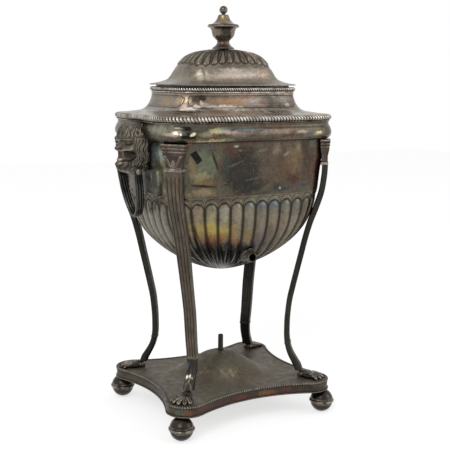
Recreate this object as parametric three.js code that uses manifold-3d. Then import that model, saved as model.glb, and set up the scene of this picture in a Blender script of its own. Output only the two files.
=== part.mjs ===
import * as THREE from "three";
import { mergeVertices } from "three/addons/utils/BufferGeometryUtils.js";
import Module from "manifold-3d";

// A plated tea urn on four lion-paw legs, in millimetres, Z up, the tap side facing -Y.
// It stands on the plane z = 0, and the axis of the urn is the Z axis.

const wasm = await Module();
wasm.setup();

// Fits shared by the whole urn
const FIT = 0.3; // gap between two pieces that touch
const RUNNING = 0.4; // play around a pin in its eye
const OVERRUN = 2; // how far a cutting solid passes the face that it cuts
const PLATE = 1.8; // thickness of the raised sheet

// Plan of the body: cushion-shaped sections, given by half width, half depth and squareness
const BOWL_HALF_WIDTH = 105.5;
const BOWL_HALF_DEPTH = 82;
const BOWL_SQUARE = 5.2;
const BAND_OUT_X = 4.9; // how far the band stands out from the bowl at the ends
const BAND_OUT_Y = 1; // and at the front and the back
const RIM_OUT_X = 7.9; // how far the rim stands out from the band
const RIM_OUT_Y = 5.5;
const RIM_SQUARE = 6;
const NECK_HALF_WIDTH = 81.5;
const NECK_HALF_DEPTH = 52.5;
const NECK_SQUARE = 5;
const ROUND = 2; // squareness of a true ellipse

// Ball feet, each of two raised halves and a post
const FOOT_R = 14.6;
const FOOT_OUT = 11.7; // from the middle of a lobe of the plinth, along X and along Y
const FOOT_FLAT_R = 5;
const FOOT_SEAM_H = 1.6;
const FOOT_SEAM_OUT = 0.9;
const POST_R = 3.6;
const POST_SPIGOT_R = 2.2;
const POST_SPIGOT_DEPTH = 7;

// Base: a concave-sided plinth with four round lobes
const LOBE_IN_X = 17.7; // from the bowl's half width in to the middle of a lobe
const LOBE_IN_Y = 8.7;
const LOBE_R = 23.4;
const WAIST_IN_X = 10; // from the bowl's half width in to the hollow of the plinth's side
const WAIST_IN_Y = 4.5;
const WIRE_H = 1.6;
const WIRE_OUT = 0.9;
const FASCIA_H = 8.4;
const FASCIA_T = 1.8;
const BEAD_H = 3;
const BEAD_IN = 2.4;
const BEAD_OUT = 0.7;
const DOME_RISE = 29.5;
const DOME_HALF_WIDTH = 62;
const DOME_HALF_DEPTH = 54;
const DOME_SQUARE = 3;

// Burner pin in the middle of the plinth
const PIN_R = 3.3;
const PIN_H = 20;
const PIN_SHANK_R = 2;
const PIN_SHANK_BELOW = 5;
const PIN_NUT_R = 5;
const PIN_NUT_H = 3;

// Legs, set near the diagonals
const LEG_ASIDE = 7; // from the corner of the bowl's box to the plane of a leg, along Y
const PAW_ASIDE = 3.2; // from the middle of a lobe of the plinth to the line of a paw, along Y
const LEG_H = 260.2;
const LEG_IN = 33.4; // from the bowl's edge in to the waist of the leg
const LEG_OUT = 8.8; // from the bowl's edge out to the top of the leg
const LEG_W = 22; // width under the capital
const LEG_T = 6.8;

// Paws and their bolts
const PAW_H = 9;
const PAW_AHEAD = 10.6; // from the foot of the leg out to the middle of the paw
const PAW_L = 27;
const PAW_W = 26;
const TOE_R = 4.2;
const TOES = 4;
const BOLT_R = 1.8;
const BOLT_NUT_R = 4;
const BOLT_NUT_H = 2.6;
const BOLT_BITE = 4;

// Capitals
const CAPITAL_H = 31;
const CAPITAL_W = 29.8;
const CAPITAL_T = 13;
const CAPITAL_OUT = 8; // from the bowl's edge out to the middle of the capital

// Heights of the body
const MOULDING_H = 21.5;
const MOULDING_OUT = 7.3;
const BAND_H = 61.5;
const BOWL_H = 103.3;
const SHOULDER_RIM_H = 8;
const SHOULDER_RIM_T = 7.2;
const NECK_H = 26.5;
const NECK_RIM_H = 6.5;
const NECK_RIM_T = 6;
const NECK_RIM_OUT = 2;

// Lobes raised in the bowl and in the lid
const BOWL_LOBES = 40;
const BOWL_GROOVE = 1.5;
const LID_LOBES = 28;
const LID_GROOVE = 1;

// Lid, its bezel and the ledge that carries it
const LID_RISE = 41.4;
const LID_EDGE_T = 1.4;
const LID_GAP = 2.2;
const LID_TOP_R = 13;
const BEZEL_T = 1.5;
const BEZEL_PLAY = 0.6;
const BEZEL_H = 13;
const LEDGE_T = 5;
const LEDGE_H = 2.4;

// Finial
const ROD_R = 1.8;
const SOCLE_R = 13.4;
const SOCLE_H = 7.4;
const URN_R = 19.5;
const URN_H = 19.6;
const COVER_H = 13;
const BALL_R = 5;
const ROD_BELOW = 6;
const ROD_NUT_R = 4.6;
const ROD_NUT_H = 2.8;

// Tap socket in the front of the bowl
const SOCKET_BORE_R = 4.4;
const SOCKET_R = 6.4;
const SOCKET_FLANGE_R = 9;
const SOCKET_FLANGE_T = 2.4;
const SOCKET_OUT = 13.3; // how far its end stands out from the bowl
const SOCKET_RISE = 27.5; // height of its bore above the bottom of the bowl

// Lion masks and the bails that hang from them
const MASK_W = 54;
const MASK_H = 57;
const MASK_OUT = 34; // from the body to the tip of the nose
const HANG_OUT = 15.1; // from the band out to the bail pin
const HANG_DROP = 34.5; // bail pin below the foot of the moulding
const BAIL_PIN_R = 2.4;
const BAIL_KNOB_R = 3.7;
const BAIL_KNOB_L = 4.2;
const BAIL_SPAN = 52;
const BAIL_STRAP_W = 10;
const BAIL_STRAP_T = 4.6;
const BAIL_DROP = 57.5;
const BAIL_LEAN = THREE.MathUtils.degToRad(9); // towards the bowl, at rest
const LUG_R = 5.2;

// Facets
const BODY_SIDES = 40;
const ROUND_SIDES = 12;
const SMALL_SIDES = 8;
const BLOB_SIDES = 7;

// Heights that follow from the sizes above
const baseFoot = 2 * FOOT_R + FIT;
const fasciaFoot = baseFoot + WIRE_H + FIT;
const beadFoot = fasciaFoot + FASCIA_H + FIT;
const plinthTop = beadFoot + PLATE;
const domeTop = plinthTop + DOME_RISE;
const pawTop = plinthTop + FIT + PAW_H;
const legFoot = pawTop + FIT;
const capitalFoot = legFoot + LEG_H + FIT;
const mouldingFoot = capitalFoot + CAPITAL_H + FIT;
const bandTop = mouldingFoot + MOULDING_H;
const bandFoot = mouldingFoot - BAND_H;
const bowlTop = bandFoot - FIT;
const bowlFoot = bowlTop - BOWL_H;
const shoulderRimFoot = bandTop + FIT;
const neckFoot = shoulderRimFoot + SHOULDER_RIM_H - PLATE;
const neckTop = neckFoot + NECK_H;
const neckRimFoot = neckTop + FIT;
const neckRimTop = neckRimFoot + NECK_RIM_H;
const lidFoot = neckRimTop + LID_GAP;
const lidEdgeTop = lidFoot + LID_EDGE_T;
const lidTop = lidEdgeTop + LID_RISE;
const socleFoot = lidTop + FIT;
const urnFoot = socleFoot + SOCLE_H + FIT;
const coverFoot = urnFoot + URN_H + FIT;
const ballFoot = coverFoot + COVER_H + FIT;
const hangHeight = mouldingFoot - HANG_DROP;
const socketHeight = bowlFoot + SOCKET_RISE;

// Places that follow from the plan of the bowl
const bandHalfWidth = BOWL_HALF_WIDTH + BAND_OUT_X;
const bandHalfDepth = BOWL_HALF_DEPTH + BAND_OUT_Y;
const hangReach = bandHalfWidth + HANG_OUT;
const lobeX = BOWL_HALF_WIDTH - LOBE_IN_X;
const lobeY = BOWL_HALF_DEPTH - LOBE_IN_Y;
const waistX = BOWL_HALF_WIDTH - WAIST_IN_X;
const waistY = BOWL_HALF_DEPTH - WAIST_IN_Y;
const legAngle = Math.atan2(BOWL_HALF_DEPTH - LEG_ASIDE, BOWL_HALF_WIDTH);
const pawAngle = Math.atan2(lobeY - PAW_ASIDE, lobeX);

// Finishes
const finishOf = (color, roughness, metalness) => () =>
  new THREE.MeshStandardMaterial({ color, roughness, metalness });
const finishes = {
  plate: finishOf(0x6f665c, 0.38, 0.9),
  pale: finishOf(0x8d857b, 0.4, 0.9),
  lobed: finishOf(0x6a6450, 0.42, 0.85),
  cast: finishOf(0x50493f, 0.5, 0.85),
  dark: finishOf(0x2e2b28, 0.55, 0.8),
  plinth: finishOf(0x4c473d, 0.6, 0.7),
  copper: finishOf(0x5a3a2e, 0.55, 0.8),
  steel: finishOf(0x57534e, 0.5, 0.9),
};

const urn = new THREE.Group();

function addPiece(name, geometry, material) {
  const mesh = new THREE.Mesh(geometry, material);
  mesh.name = name;
  urn.add(mesh);
  return mesh;
}

// Closed bodies from rings of points

function facedOut(positions, triangles) {
  let volume = 0;
  for (const [a, b, c] of triangles) {
    const p = positions[a];
    volume += p.dot(new THREE.Vector3().crossVectors(positions[b], positions[c]));
  }
  const geometry = new THREE.BufferGeometry().setFromPoints(positions);
  geometry.setIndex(triangles.flatMap(([a, b, c]) => (volume > 0 ? [a, b, c] : [a, c, b])));
  return geometry;
}

// Joins rings of equal length, and closes the ends with fans or, when looped, with each other.
function loft(rings, looped = false) {
  const count = rings[0].length;
  const positions = rings.flat();
  const triangles = [];
  const spans = looped ? rings.length : rings.length - 1;
  for (let i = 0; i < spans; i++) {
    const low = i * count;
    const high = ((i + 1) % rings.length) * count;
    for (let j = 0; j < count; j++) {
      const k = (j + 1) % count;
      triangles.push([low + j, low + k, high + k], [low + j, high + k, high + j]);
    }
  }
  if (!looped) {
    for (const [ring, start] of [[rings[0], 0], [rings.at(-1), positions.length - count]]) {
      const centre = new THREE.Vector3();
      ring.forEach((corner) => centre.addScaledVector(corner, 1 / count));
      const hub = positions.push(centre) - 1;
      for (let j = 0; j < count; j++) {
        const edge = [start + j, start + ((j + 1) % count)];
        triangles.push(start === 0 ? [edge[1], edge[0], hub] : [edge[0], edge[1], hub]);
      }
    }
  }
  return facedOut(positions, triangles);
}

function turned(outline, sides = ROUND_SIDES, closed = false) {
  const points = outline.map(([r, z]) => new THREE.Vector2(r, z));
  if (closed) points.push(points[0].clone());
  const geometry = new THREE.LatheGeometry(points, sides).rotateX(Math.PI / 2);
  const merged = weld(geometry);
  const corners = [];
  const position = merged.getAttribute("position");
  for (let i = 0; i < position.count; i++) corners.push(new THREE.Vector3().fromBufferAttribute(position, i));
  const triangles = [];
  const index = merged.getIndex().array;
  for (let i = 0; i < index.length; i += 3) {
    const [a, b, c] = index.slice(i, i + 3);
    if (a !== b && b !== c && c !== a) triangles.push([a, b, c]);
  }
  return facedOut(corners, triangles);
}

// Booleans

function weld(geometry) {
  const bare = geometry.clone();
  bare.deleteAttribute("normal");
  bare.deleteAttribute("uv");
  return mergeVertices(bare, FIT / 1000);
}

function solid(geometry) {
  const welded = weld(geometry);
  const vertProperties = new Float32Array(welded.getAttribute("position").array);
  const triVerts = new Uint32Array(welded.getIndex().array);
  return new wasm.Manifold(new wasm.Mesh({ numProp: 3, vertProperties, triVerts }));
}

function surface(manifold) {
  const { vertProperties, triVerts } = manifold.getMesh();
  const geometry = new THREE.BufferGeometry();
  geometry.setAttribute("position", new THREE.BufferAttribute(vertProperties, 3));
  geometry.setIndex(new THREE.BufferAttribute(triVerts, 1));
  return geometry;
}

const joined = (geometries) => geometries.map(solid).reduce((a, b) => a.add(b));
const without = (body, cutters) => surface(cutters.map(solid).reduce((a, b) => a.subtract(b), body));
const point = (x, y, z) => new THREE.Vector3(x, y, z);
const upward = point(0, 0, 1);

function rod(radius, from, to, sides = SMALL_SIDES) {
  const length = from.distanceTo(to);
  const geometry = new THREE.CylinderGeometry(radius, radius, length, sides);
  const turn = new THREE.Quaternion().setFromUnitVectors(
    new THREE.Vector3(0, 1, 0),
    to.clone().sub(from).normalize(),
  );
  geometry.applyQuaternion(turn);
  const middle = from.clone().add(to).multiplyScalar(0.5);
  return geometry.translate(middle.x, middle.y, middle.z);
}

// Cushion-shaped sections

const section = (halfWidth, halfDepth, square, z) => ({ halfWidth, halfDepth, square, z });
const grown = (s, out, up = 0) => section(s.halfWidth + out, s.halfDepth + out, s.square, s.z + up);

function between(a, b, share, z) {
  const mix = (key) => THREE.MathUtils.lerp(a[key], b[key], share);
  return section(mix("halfWidth"), mix("halfDepth"), mix("square"), z);
}

function reachAt(s, angle) {
  const across = Math.abs(Math.cos(angle)) / s.halfWidth;
  const along = Math.abs(Math.sin(angle)) / s.halfDepth;
  return (across ** s.square + along ** s.square) ** (-1 / s.square);
}

// Angles that divide the edge of a section into equal lengths
function evenAngles(s, count) {
  const fine = count * 12;
  const lengths = [0];
  const at = (i) => {
    const angle = (i / fine) * 2 * Math.PI;
    return new THREE.Vector2(Math.cos(angle), Math.sin(angle)).multiplyScalar(reachAt(s, angle));
  };
  for (let i = 1; i <= fine; i++) lengths.push(lengths[i - 1] + at(i).distanceTo(at(i - 1)));
  const angles = [];
  for (let k = 0, i = 0; k < count; k++) {
    const wanted = (k / count) * lengths[fine];
    while (lengths[i + 1] <= wanted) i++;
    const part = (wanted - lengths[i]) / (lengths[i + 1] - lengths[i]);
    angles.push(((i + part) / fine) * 2 * Math.PI);
  }
  return angles;
}

function ringOf(s, angles, relief = null) {
  return angles.map((angle, i) => {
    const sunk = relief && i % 2 === 0 ? relief.depth : 0;
    const reach = reachAt(s, angle) - sunk * (relief ? relief.out : 0);
    const z = s.z - sunk * (relief ? relief.up : 0);
    return new THREE.Vector3(reach * Math.cos(angle), reach * Math.sin(angle), z);
  });
}

// Unit normal of a chain of sections at one of them, on the side that faces away from the urn's middle
function normalAt(chain, i, side) {
  const before = chain[Math.max(i - 1, 0)];
  const after = chain[Math.min(i + 1, chain.length - 1)];
  const run = after.halfWidth - before.halfWidth;
  const rise = after.z - before.z;
  const length = Math.hypot(run, rise);
  return { out: (side * rise) / length, up: (-side * run) / length };
}

function lobedRings(chain, angles, depth, side, depthShares) {
  return chain.map((s, i) => {
    const relief = { ...normalAt(chain, i, side), depth: depth * depthShares[i] };
    return ringOf(s, angles, relief);
  });
}

function innerRings(chain, angles, wall, side) {
  return chain.map((s, i) => {
    const normal = normalAt(chain, i, side);
    return ringOf(grown(s, -wall * normal.out, -wall * normal.up), angles);
  });
}

const rim = section(bandHalfWidth + RIM_OUT_X, bandHalfDepth + RIM_OUT_Y, RIM_SQUARE, shoulderRimFoot);
const band = section(bandHalfWidth, bandHalfDepth, RIM_SQUARE, mouldingFoot);
const bowlEdge = section(BOWL_HALF_WIDTH, BOWL_HALF_DEPTH, BOWL_SQUARE, bowlTop);
const neck = section(NECK_HALF_WIDTH, NECK_HALF_DEPTH, NECK_SQUARE, neckTop);
const bodyAngles = evenAngles(rim, BODY_SIDES);

// A frame of constant profile around a section: the outline is a closed list of [out, up]
function frame(s, angles, outline) {
  return loft(outline.map(([out, up]) => ringOf(grown(s, out, up), angles)), true);
}

// Fluted bowl

const BOWL_CURVE_SHARES = {
  widthPower: 2.5, widthRoot: 1.52,
  depthPower: 3.5, depthRoot: 1.45,
  squarePower: 1.4,
};
const BOWL_LEVEL_SHARES = [0.006, 0.05, 0.14, 0.27, 0.44, 0.66, 0.9, 0.955, 1];
const BOWL_LOBE_SHARES = [0, 0.8, 1, 1, 1, 1, 1, 0, 0];
const BOWL_HOLLOW_STEPS = [1, 2, 3, 5, 8]; // stations of the bowl that its hollow follows

function bowlSection(level) {
  const c = BOWL_CURVE_SHARES;
  const width = (1 - (1 - level) ** c.widthPower) ** (1 / c.widthRoot);
  const depth = (1 - (1 - level) ** c.depthPower) ** (1 / c.depthRoot);
  const square = THREE.MathUtils.lerp(ROUND, BOWL_SQUARE, level ** c.squarePower);
  return section(BOWL_HALF_WIDTH * width, BOWL_HALF_DEPTH * depth, square, bowlFoot + BOWL_H * level);
}

const lobeAngles = evenAngles(bowlEdge, 2 * BOWL_LOBES);
const bowlChain = BOWL_LEVEL_SHARES.map(bowlSection);
const bowlWall = PLATE + BOWL_GROOVE;
const socketAxis = (y) => new THREE.Vector3(0, y, socketHeight);
const socketRoot = -bowlSection(SOCKET_RISE / BOWL_H).halfDepth;
const socketEnd = socketRoot - SOCKET_OUT;

function bowl() {
  const outside = solid(loft(lobedRings(bowlChain, lobeAngles, BOWL_GROOVE, 1, BOWL_LOBE_SHARES)));
  const hollow = BOWL_HOLLOW_STEPS.map((step) => bowlChain[step]);
  const inside = innerRings(hollow, bodyAngles, bowlWall, 1);
  const above = grown(hollow.at(-1), -bowlWall, OVERRUN);
  const hole = rod(SOCKET_R + FIT, socketAxis(socketRoot / 2), socketAxis(socketEnd), ROUND_SIDES);
  return without(outside, [loft([...inside, ringOf(above, bodyAngles)]), hole]);
}

addPiece("fluted_bowl", bowl(), finishes.lobed());

// Tap socket: a short tube with a soldered collar that follows the bowl
function tapSocket() {
  const around = (out) => loft(bowlChain.map((s) => ringOf(grown(s, out, -out / 2), lobeAngles)));
  const tube = rod(SOCKET_R, socketAxis(socketRoot + bowlWall), socketAxis(socketEnd), ROUND_SIDES);
  const collar = rod(SOCKET_FLANGE_R, socketAxis(socketRoot / 2), socketAxis(socketEnd), ROUND_SIDES);
  const bore = rod(SOCKET_BORE_R, socketAxis(0), socketAxis(socketEnd - OVERRUN), ROUND_SIDES);
  const skin = solid(collar).intersect(solid(around(SOCKET_FLANGE_T))).subtract(solid(around(FIT)));
  return surface(skin.add(solid(tube)).subtract(solid(bore)));
}

addPiece("tap_socket", tapSocket(), finishes.cast());

// Body band with its swelling moulding under the shoulder rim

const MOULDING_OUT_SHARES = [0, 0.12, 0.6, 0.9, 1, 0.86, 0.6, 0.63];
const MOULDING_UP_SHARES = [-0.1, 0, 0.06, 0.2, 0.42, 0.65, 0.85, 1];
const mouldingSection = (out, up) => grown(band, MOULDING_OUT * out, MOULDING_H * up);
const bandFootSection = section(BOWL_HALF_WIDTH, BOWL_HALF_DEPTH, BOWL_SQUARE, bandFoot);
const bandMiddle = between(bandFootSection, band, 0.5, (bandFoot + mouldingFoot) / 2);
const bandChain = [
  bandFootSection,
  bandMiddle,
  ...MOULDING_OUT_SHARES.map((out, i) => mouldingSection(out, MOULDING_UP_SHARES[i])),
];

function bodyBand() {
  const inside = [
    grown(bandChain.at(-1), -PLATE),
    grown(mouldingSection(0.5, 0.5), -PLATE),
    grown(band, -PLATE),
    grown(bandMiddle, -PLATE),
    grown(bandFootSection, -PLATE),
  ];
  return loft([...bandChain, ...inside].map((s) => ringOf(s, bodyAngles)), true);
}

addPiece("body_band", bodyBand(), finishes.plate());

// The room that the band takes up, with a gap around it
function bandRoom() {
  const rings = bandChain.map((s) => ringOf(grown(s, FIT), bodyAngles));
  const above = ringOf(grown(bandChain.at(-1), FIT, OVERRUN), bodyAngles);
  const below = ringOf(grown(bandFootSection, FIT, -OVERRUN), bodyAngles);
  return loft([below, ...rings, above]);
}

// Gadrooned rims

const RIM_OUT_SHARES = [1, 0.2, 0, 0.1, 0.35, 1];
const RIM_UP_SHARES = [0, 0, 0.35, 0.8, 1, 1];

function gadroonRim(s, height, thickness) {
  return frame(s, bodyAngles, RIM_OUT_SHARES.map((out, i) => [-thickness * out, height * RIM_UP_SHARES[i]]));
}

addPiece("shoulder_rim", gadroonRim(rim, SHOULDER_RIM_H, SHOULDER_RIM_T), finishes.pale());

const neckRim = grown(neck, NECK_RIM_OUT, FIT);
addPiece("neck_rim", gadroonRim(neckRim, NECK_RIM_H, NECK_RIM_T), finishes.pale());

// Neck: a concave shoulder that rises to the mouth

const NECK_OUT_SHARES = [1, 0.85, 0.68, 0.5, 0.36, 0.23, 0.13, 0.05, 0.01, 0];
const NECK_UP_SHARES = [0, 0.08, 0.15, 0.215, 0.28, 0.38, 0.49, 0.64, 0.81, 1];
const NECK_HOLLOW_STEPS = [7, 5, 3, 1]; // stations that the hollow follows, from the mouth down

function neckShell() {
  const foot = grown(rim, -SHOULDER_RIM_T - FIT);
  const chain = NECK_OUT_SHARES.map((out, i) =>
    between(neck, foot, out, neckFoot + NECK_H * NECK_UP_SHARES[i]));
  const outside = chain.map((s) => ringOf(s, bodyAngles));
  const hollow = innerRings(NECK_HOLLOW_STEPS.map((step) => chain[step]), bodyAngles, PLATE, -1);
  const footUnder = ringOf(grown(chain[0], 0, -PLATE), bodyAngles);
  const mouthInside = ringOf(grown(chain.at(-1), -PLATE), bodyAngles);
  return loft([...outside, mouthInside, ...hollow, footUnder], true);
}

addPiece("neck_shell", neckShell(), finishes.pale());

// Lid: a lobed dome with a thin flared edge, its bezel, and the ledge in the neck that carries it

const mouth = grown(neckRim, -NECK_RIM_T);
const bezelOuter = grown(mouth, -BEZEL_PLAY);
const bezelInner = grown(bezelOuter, -BEZEL_T);
const bezelFoot = lidFoot - BEZEL_H;

function ledge() {
  const outer = -PLATE - FIT;
  const inner = outer - LEDGE_T;
  const top = bezelFoot - FIT - neck.z;
  const foot = top - LEDGE_H;
  return frame(neck, bodyAngles, [[outer, foot], [outer, top], [inner, top], [inner, foot]]);
}

addPiece("lid_ledge", ledge(), finishes.plate());

const LID_OUT_SHARES = [0.03, 0.12, 0.29, 0.44, 0.52, 0.575, 0.61, 0.65, 0.69, 0.74, 0.86, 1];
const LID_UP_SHARES = [1, 0.98, 0.92, 0.81, 0.69, 0.57, 0.45, 0.33, 0.208, 0.123, 0.045, 0];
const LID_LOBE_SHARES = [0.5, 1, 1, 1, 1, 0.8, 0, 0, 0, 0, 0, 0];
const LID_HOLLOW_STEPS = [8, 6, 4, 2, 0]; // stations that the hollow follows, from the foot up
const lidEdge = { ...grown(mouth, NECK_RIM_T), z: lidEdgeTop };
const lidCrown = section(LID_TOP_R, LID_TOP_R, ROUND, lidTop);
const lidChain = LID_OUT_SHARES.map((out, i) =>
  between(lidCrown, lidEdge, out, lidEdgeTop + LID_RISE * LID_UP_SHARES[i]),
);

function lidDome() {
  const angles = evenAngles(lidChain[LID_HOLLOW_STEPS[2]], 2 * LID_LOBES);
  const wall = LID_EDGE_T + LID_GROOVE;
  const crown = grown(lidCrown, -LID_TOP_R / 2);
  const hollow = LID_HOLLOW_STEPS.map((step) => lidChain[step]);
  const rings = [
    ringOf(crown, angles),
    ...lobedRings(lidChain, angles, LID_GROOVE, -1, LID_LOBE_SHARES),
    ringOf({ ...lidEdge, z: lidFoot }, angles),
    ringOf({ ...bezelInner, z: lidFoot }, angles),
    ...innerRings(hollow, angles, wall, 1),
    ringOf(grown(crown, 0, -wall), angles),
  ];
  const hole = rod(ROD_R + FIT, point(0, 0, lidFoot), point(0, 0, lidTop + OVERRUN));
  return without(solid(loft(rings)), [hole]);
}

addPiece("lid_dome", lidDome(), finishes.pale());

function bezel() {
  const top = lidFoot - FIT - mouth.z;
  const foot = bezelFoot - mouth.z;
  const outer = bezelOuter.halfWidth - mouth.halfWidth;
  const inner = bezelInner.halfWidth - mouth.halfWidth;
  return frame(mouth, bodyAngles, [[outer, foot], [outer, top], [inner, top], [inner, foot]]);
}

addPiece("lid_bezel", bezel(), finishes.dark());

// Finial: a little covered urn threaded on a rod through the lid

const FINIAL_BORE_R = ROD_R + FIT;
const SOCLE_OUT_SHARES = [1, 0.96, 0.7, 0.56, 0.54];
const SOCLE_UP_SHARES = [0, 0.14, 0.42, 0.8, 1];
const URN_OUT_SHARES = [0.4, 0.42, 0.56, 0.7, 0.76, 0.84, 1, 0.98];
const URN_UP_SHARES = [0, 0.1, 0.25, 0.42, 0.66, 0.84, 0.96, 1];
const COVER_OUT_SHARES = [0.95, 0.72, 0.5, 0.38, 0.35, 0.22];
const COVER_UP_SHARES = [0, 0.12, 0.4, 0.7, 0.92, 1];

function turnedShell(radius, outShares, upShares, foot, height) {
  const outside = outShares.map((out, i) => [radius * out, foot + height * upShares[i]]);
  return turned([...outside, [FINIAL_BORE_R, foot + height], [FINIAL_BORE_R, foot]], ROUND_SIDES, true);
}

const BALL_TURNS = [30, 60, 90, 120, 150]; // degrees from the foot of the ball to the points of its outline

function finialBall() {
  const centre = ballFoot + BALL_R;
  const outside = BALL_TURNS.map(THREE.MathUtils.degToRad)
    .map((turn) => [BALL_R * Math.sin(turn), centre - BALL_R * Math.cos(turn)]);
  const bore = [[0, centre], [FINIAL_BORE_R, centre], [FINIAL_BORE_R, ballFoot]];
  return turned([...bore, ...outside, [0, centre + BALL_R]]);
}

const socle = turnedShell(SOCLE_R, SOCLE_OUT_SHARES, SOCLE_UP_SHARES, socleFoot, SOCLE_H);
const smallUrn = turnedShell(URN_R, URN_OUT_SHARES, URN_UP_SHARES, urnFoot, URN_H);
const smallCover = turnedShell(URN_R, COVER_OUT_SHARES, COVER_UP_SHARES, coverFoot, COVER_H);
addPiece("finial_socle", socle, finishes.plate());
addPiece("finial_urn", smallUrn, finishes.plate());
addPiece("finial_cover", smallCover, finishes.plate());
addPiece("finial_ball", finialBall(), finishes.cast());

const rodFoot = lidTop - LID_EDGE_T - LID_GROOVE - ROD_BELOW;
const rodTop = ballFoot + BALL_R - FIT;
const rodNutTop = rodFoot + ROD_BELOW - FIT;
addPiece("finial_rod", rod(ROD_R, point(0, 0, rodFoot), point(0, 0, rodTop)), finishes.steel());

const nut = (hole, radius, top, height) =>
  turned([[radius, top - height], [radius, top], [hole, top], [hole, top - height]], SMALL_SIDES, true);
addPiece("finial_nut", nut(FINIAL_BORE_R, ROD_NUT_R, rodNutTop, ROD_NUT_H), finishes.steel());

// Legs, capitals and paws are shaped with +X pointing away from the axis, then turned to their corner

const corners = [
  { name: "front_left", x: -1, y: -1 },
  { name: "front_right", x: 1, y: -1 },
  { name: "back_left", x: -1, y: 1 },
  { name: "back_right", x: 1, y: 1 },
];
const cornerTurn = ({ x, y }, angle) => Math.atan2(y * Math.sin(angle), x * Math.cos(angle));

const CHAMFER_SHARE = 0.3; // of the half width or half depth of a bar

function barRing(halfOut, halfSide, place) {
  const out = halfOut * (1 - CHAMFER_SHARE);
  const side = halfSide * (1 - CHAMFER_SHARE);
  const outline = [
    [halfOut, side], [out, halfSide], [-out, halfSide], [-halfOut, side],
    [-halfOut, -side], [-out, -halfSide], [out, -halfSide], [halfOut, -side],
  ];
  return outline.map(([a, b]) => place(a, b));
}

// Stations of a leg: height, reach, width, thickness and sideways turn. The height is a share of
// the leg under the foot of the bowl, and 1 and a share of the leg beside the bowl above that.
const LEG_SHARES = [
  { up: 0, out: 0.39, wide: 0.62, thick: 1.35, turn: 1 },
  { up: 0.041, out: 0.345, wide: 0.61, thick: 1.3, turn: 1 },
  { up: 0.09, out: 0.26, wide: 0.61, thick: 1.2, turn: 1 },
  { up: 0.185, out: 0.11, wide: 0.61, thick: 1.08, turn: 0.85 },
  { up: 0.296, out: 0.02, wide: 0.61, thick: 1, turn: 0.55 },
  { up: 0.423, out: 0, wide: 0.62, thick: 1, turn: 0.2 },
  { up: 0.54, out: 0.01, wide: 0.64, thick: 1, turn: 0.05 },
  { up: 0.698, out: 0.058, wide: 0.65, thick: 1, turn: 0 },
  { up: 0.856, out: 0.155, wide: 0.66, thick: 1, turn: 0 },
  { up: 1.014, out: 0.262, wide: 0.69, thick: 1, turn: 0 },
  { up: 1.164, out: 0.371, wide: 0.73, thick: 1, turn: 0 },
  { up: 1.314, out: 0.478, wide: 0.78, thick: 1, turn: 0 },
  { up: 1.462, out: 0.608, wide: 0.8, thick: 1, turn: 0 },
  { up: 1.612, out: 0.778, wide: 0.83, thick: 1, turn: 0 },
  { up: 1.762, out: 0.922, wide: 0.86, thick: 1, turn: 0 },
  { up: 1.912, out: 0.988, wide: 0.93, thick: 1, turn: 0 },
  { up: 2, out: 1, wide: 1, thick: 1, turn: 0 },
];

const bowlCorner = reachAt(bowlEdge, legAngle);
const legPath = LEG_SHARES.map(({ up, out }) => {
  const reach = bowlCorner + THREE.MathUtils.lerp(-LEG_IN, LEG_OUT, out);
  const below = THREE.MathUtils.lerp(legFoot, bowlFoot, up);
  const beside = THREE.MathUtils.lerp(bowlFoot, legFoot + LEG_H, up - 1);
  return new THREE.Vector2(reach, up < 1 ? below : beside);
});

// A leg along its own plane, turned aside at the foot by hand = 1 or -1
function leg(hand) {
  const last = legPath.length - 1;
  return loft(legPath.map((centre, i) => {
    const along = legPath[Math.min(i + 1, last)].clone().sub(legPath[Math.max(i - 1, 0)]).normalize();
    const across = i === 0 || i === last ? new THREE.Vector2(1, 0) : new THREE.Vector2(along.y, -along.x);
    const { wide, thick, turn } = LEG_SHARES[i];
    return barRing((LEG_T / 2) * thick, (LEG_W / 2) * wide, (out, side) =>
      point(centre.x + across.x * out, side, centre.y + across.y * out)
        .applyAxisAngle(upward, hand * turn * (pawAngle - legAngle)));
  }));
}

const CAPITAL_SIDE_SHARES = [0.76, 0.76, 0.64, 0.68, 0.86, 0.86, 0.94, 0.94, 1, 1];
const CAPITAL_OUT_SHARES = [0.72, 0.72, 0.6, 0.66, 0.86, 0.86, 0.94, 0.94, 1, 1];
const CAPITAL_UP_SHARES = [0, 0.12, 0.16, 0.42, 0.64, 0.74, 0.76, 0.86, 0.88, 1];

function capital(turn) {
  const rings = CAPITAL_UP_SHARES.map((up, i) => {
    const halfOut = (CAPITAL_T / 2) * CAPITAL_OUT_SHARES[i];
    const halfSide = (CAPITAL_W / 2) * CAPITAL_SIDE_SHARES[i];
    const height = capitalFoot + CAPITAL_H * up;
    return barRing(halfOut, halfSide, (out, side) => point(bowlCorner + CAPITAL_OUT + out, side, height));
  });
  return without(solid(loft(rings)), [bandRoom().rotateZ(-turn)]);
}

// A ball stretched to three half sizes
function blob(centre, halfOut, halfSide, halfUp, sides = BLOB_SIDES) {
  const ball = weld(new THREE.SphereGeometry(1, sides, sides - 2)).scale(halfOut, halfSide, halfUp);
  return ball.translate(centre.x, centre.y, centre.z);
}

const INSTEP_WIDTH_SHARE = 0.8;
const HEEL_WIDTH_SHARE = 0.85;
const boltReach = legPath[0].x;
const pawReach = boltReach + PAW_AHEAD;
const pawFoot = plinthTop + FIT;

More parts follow.
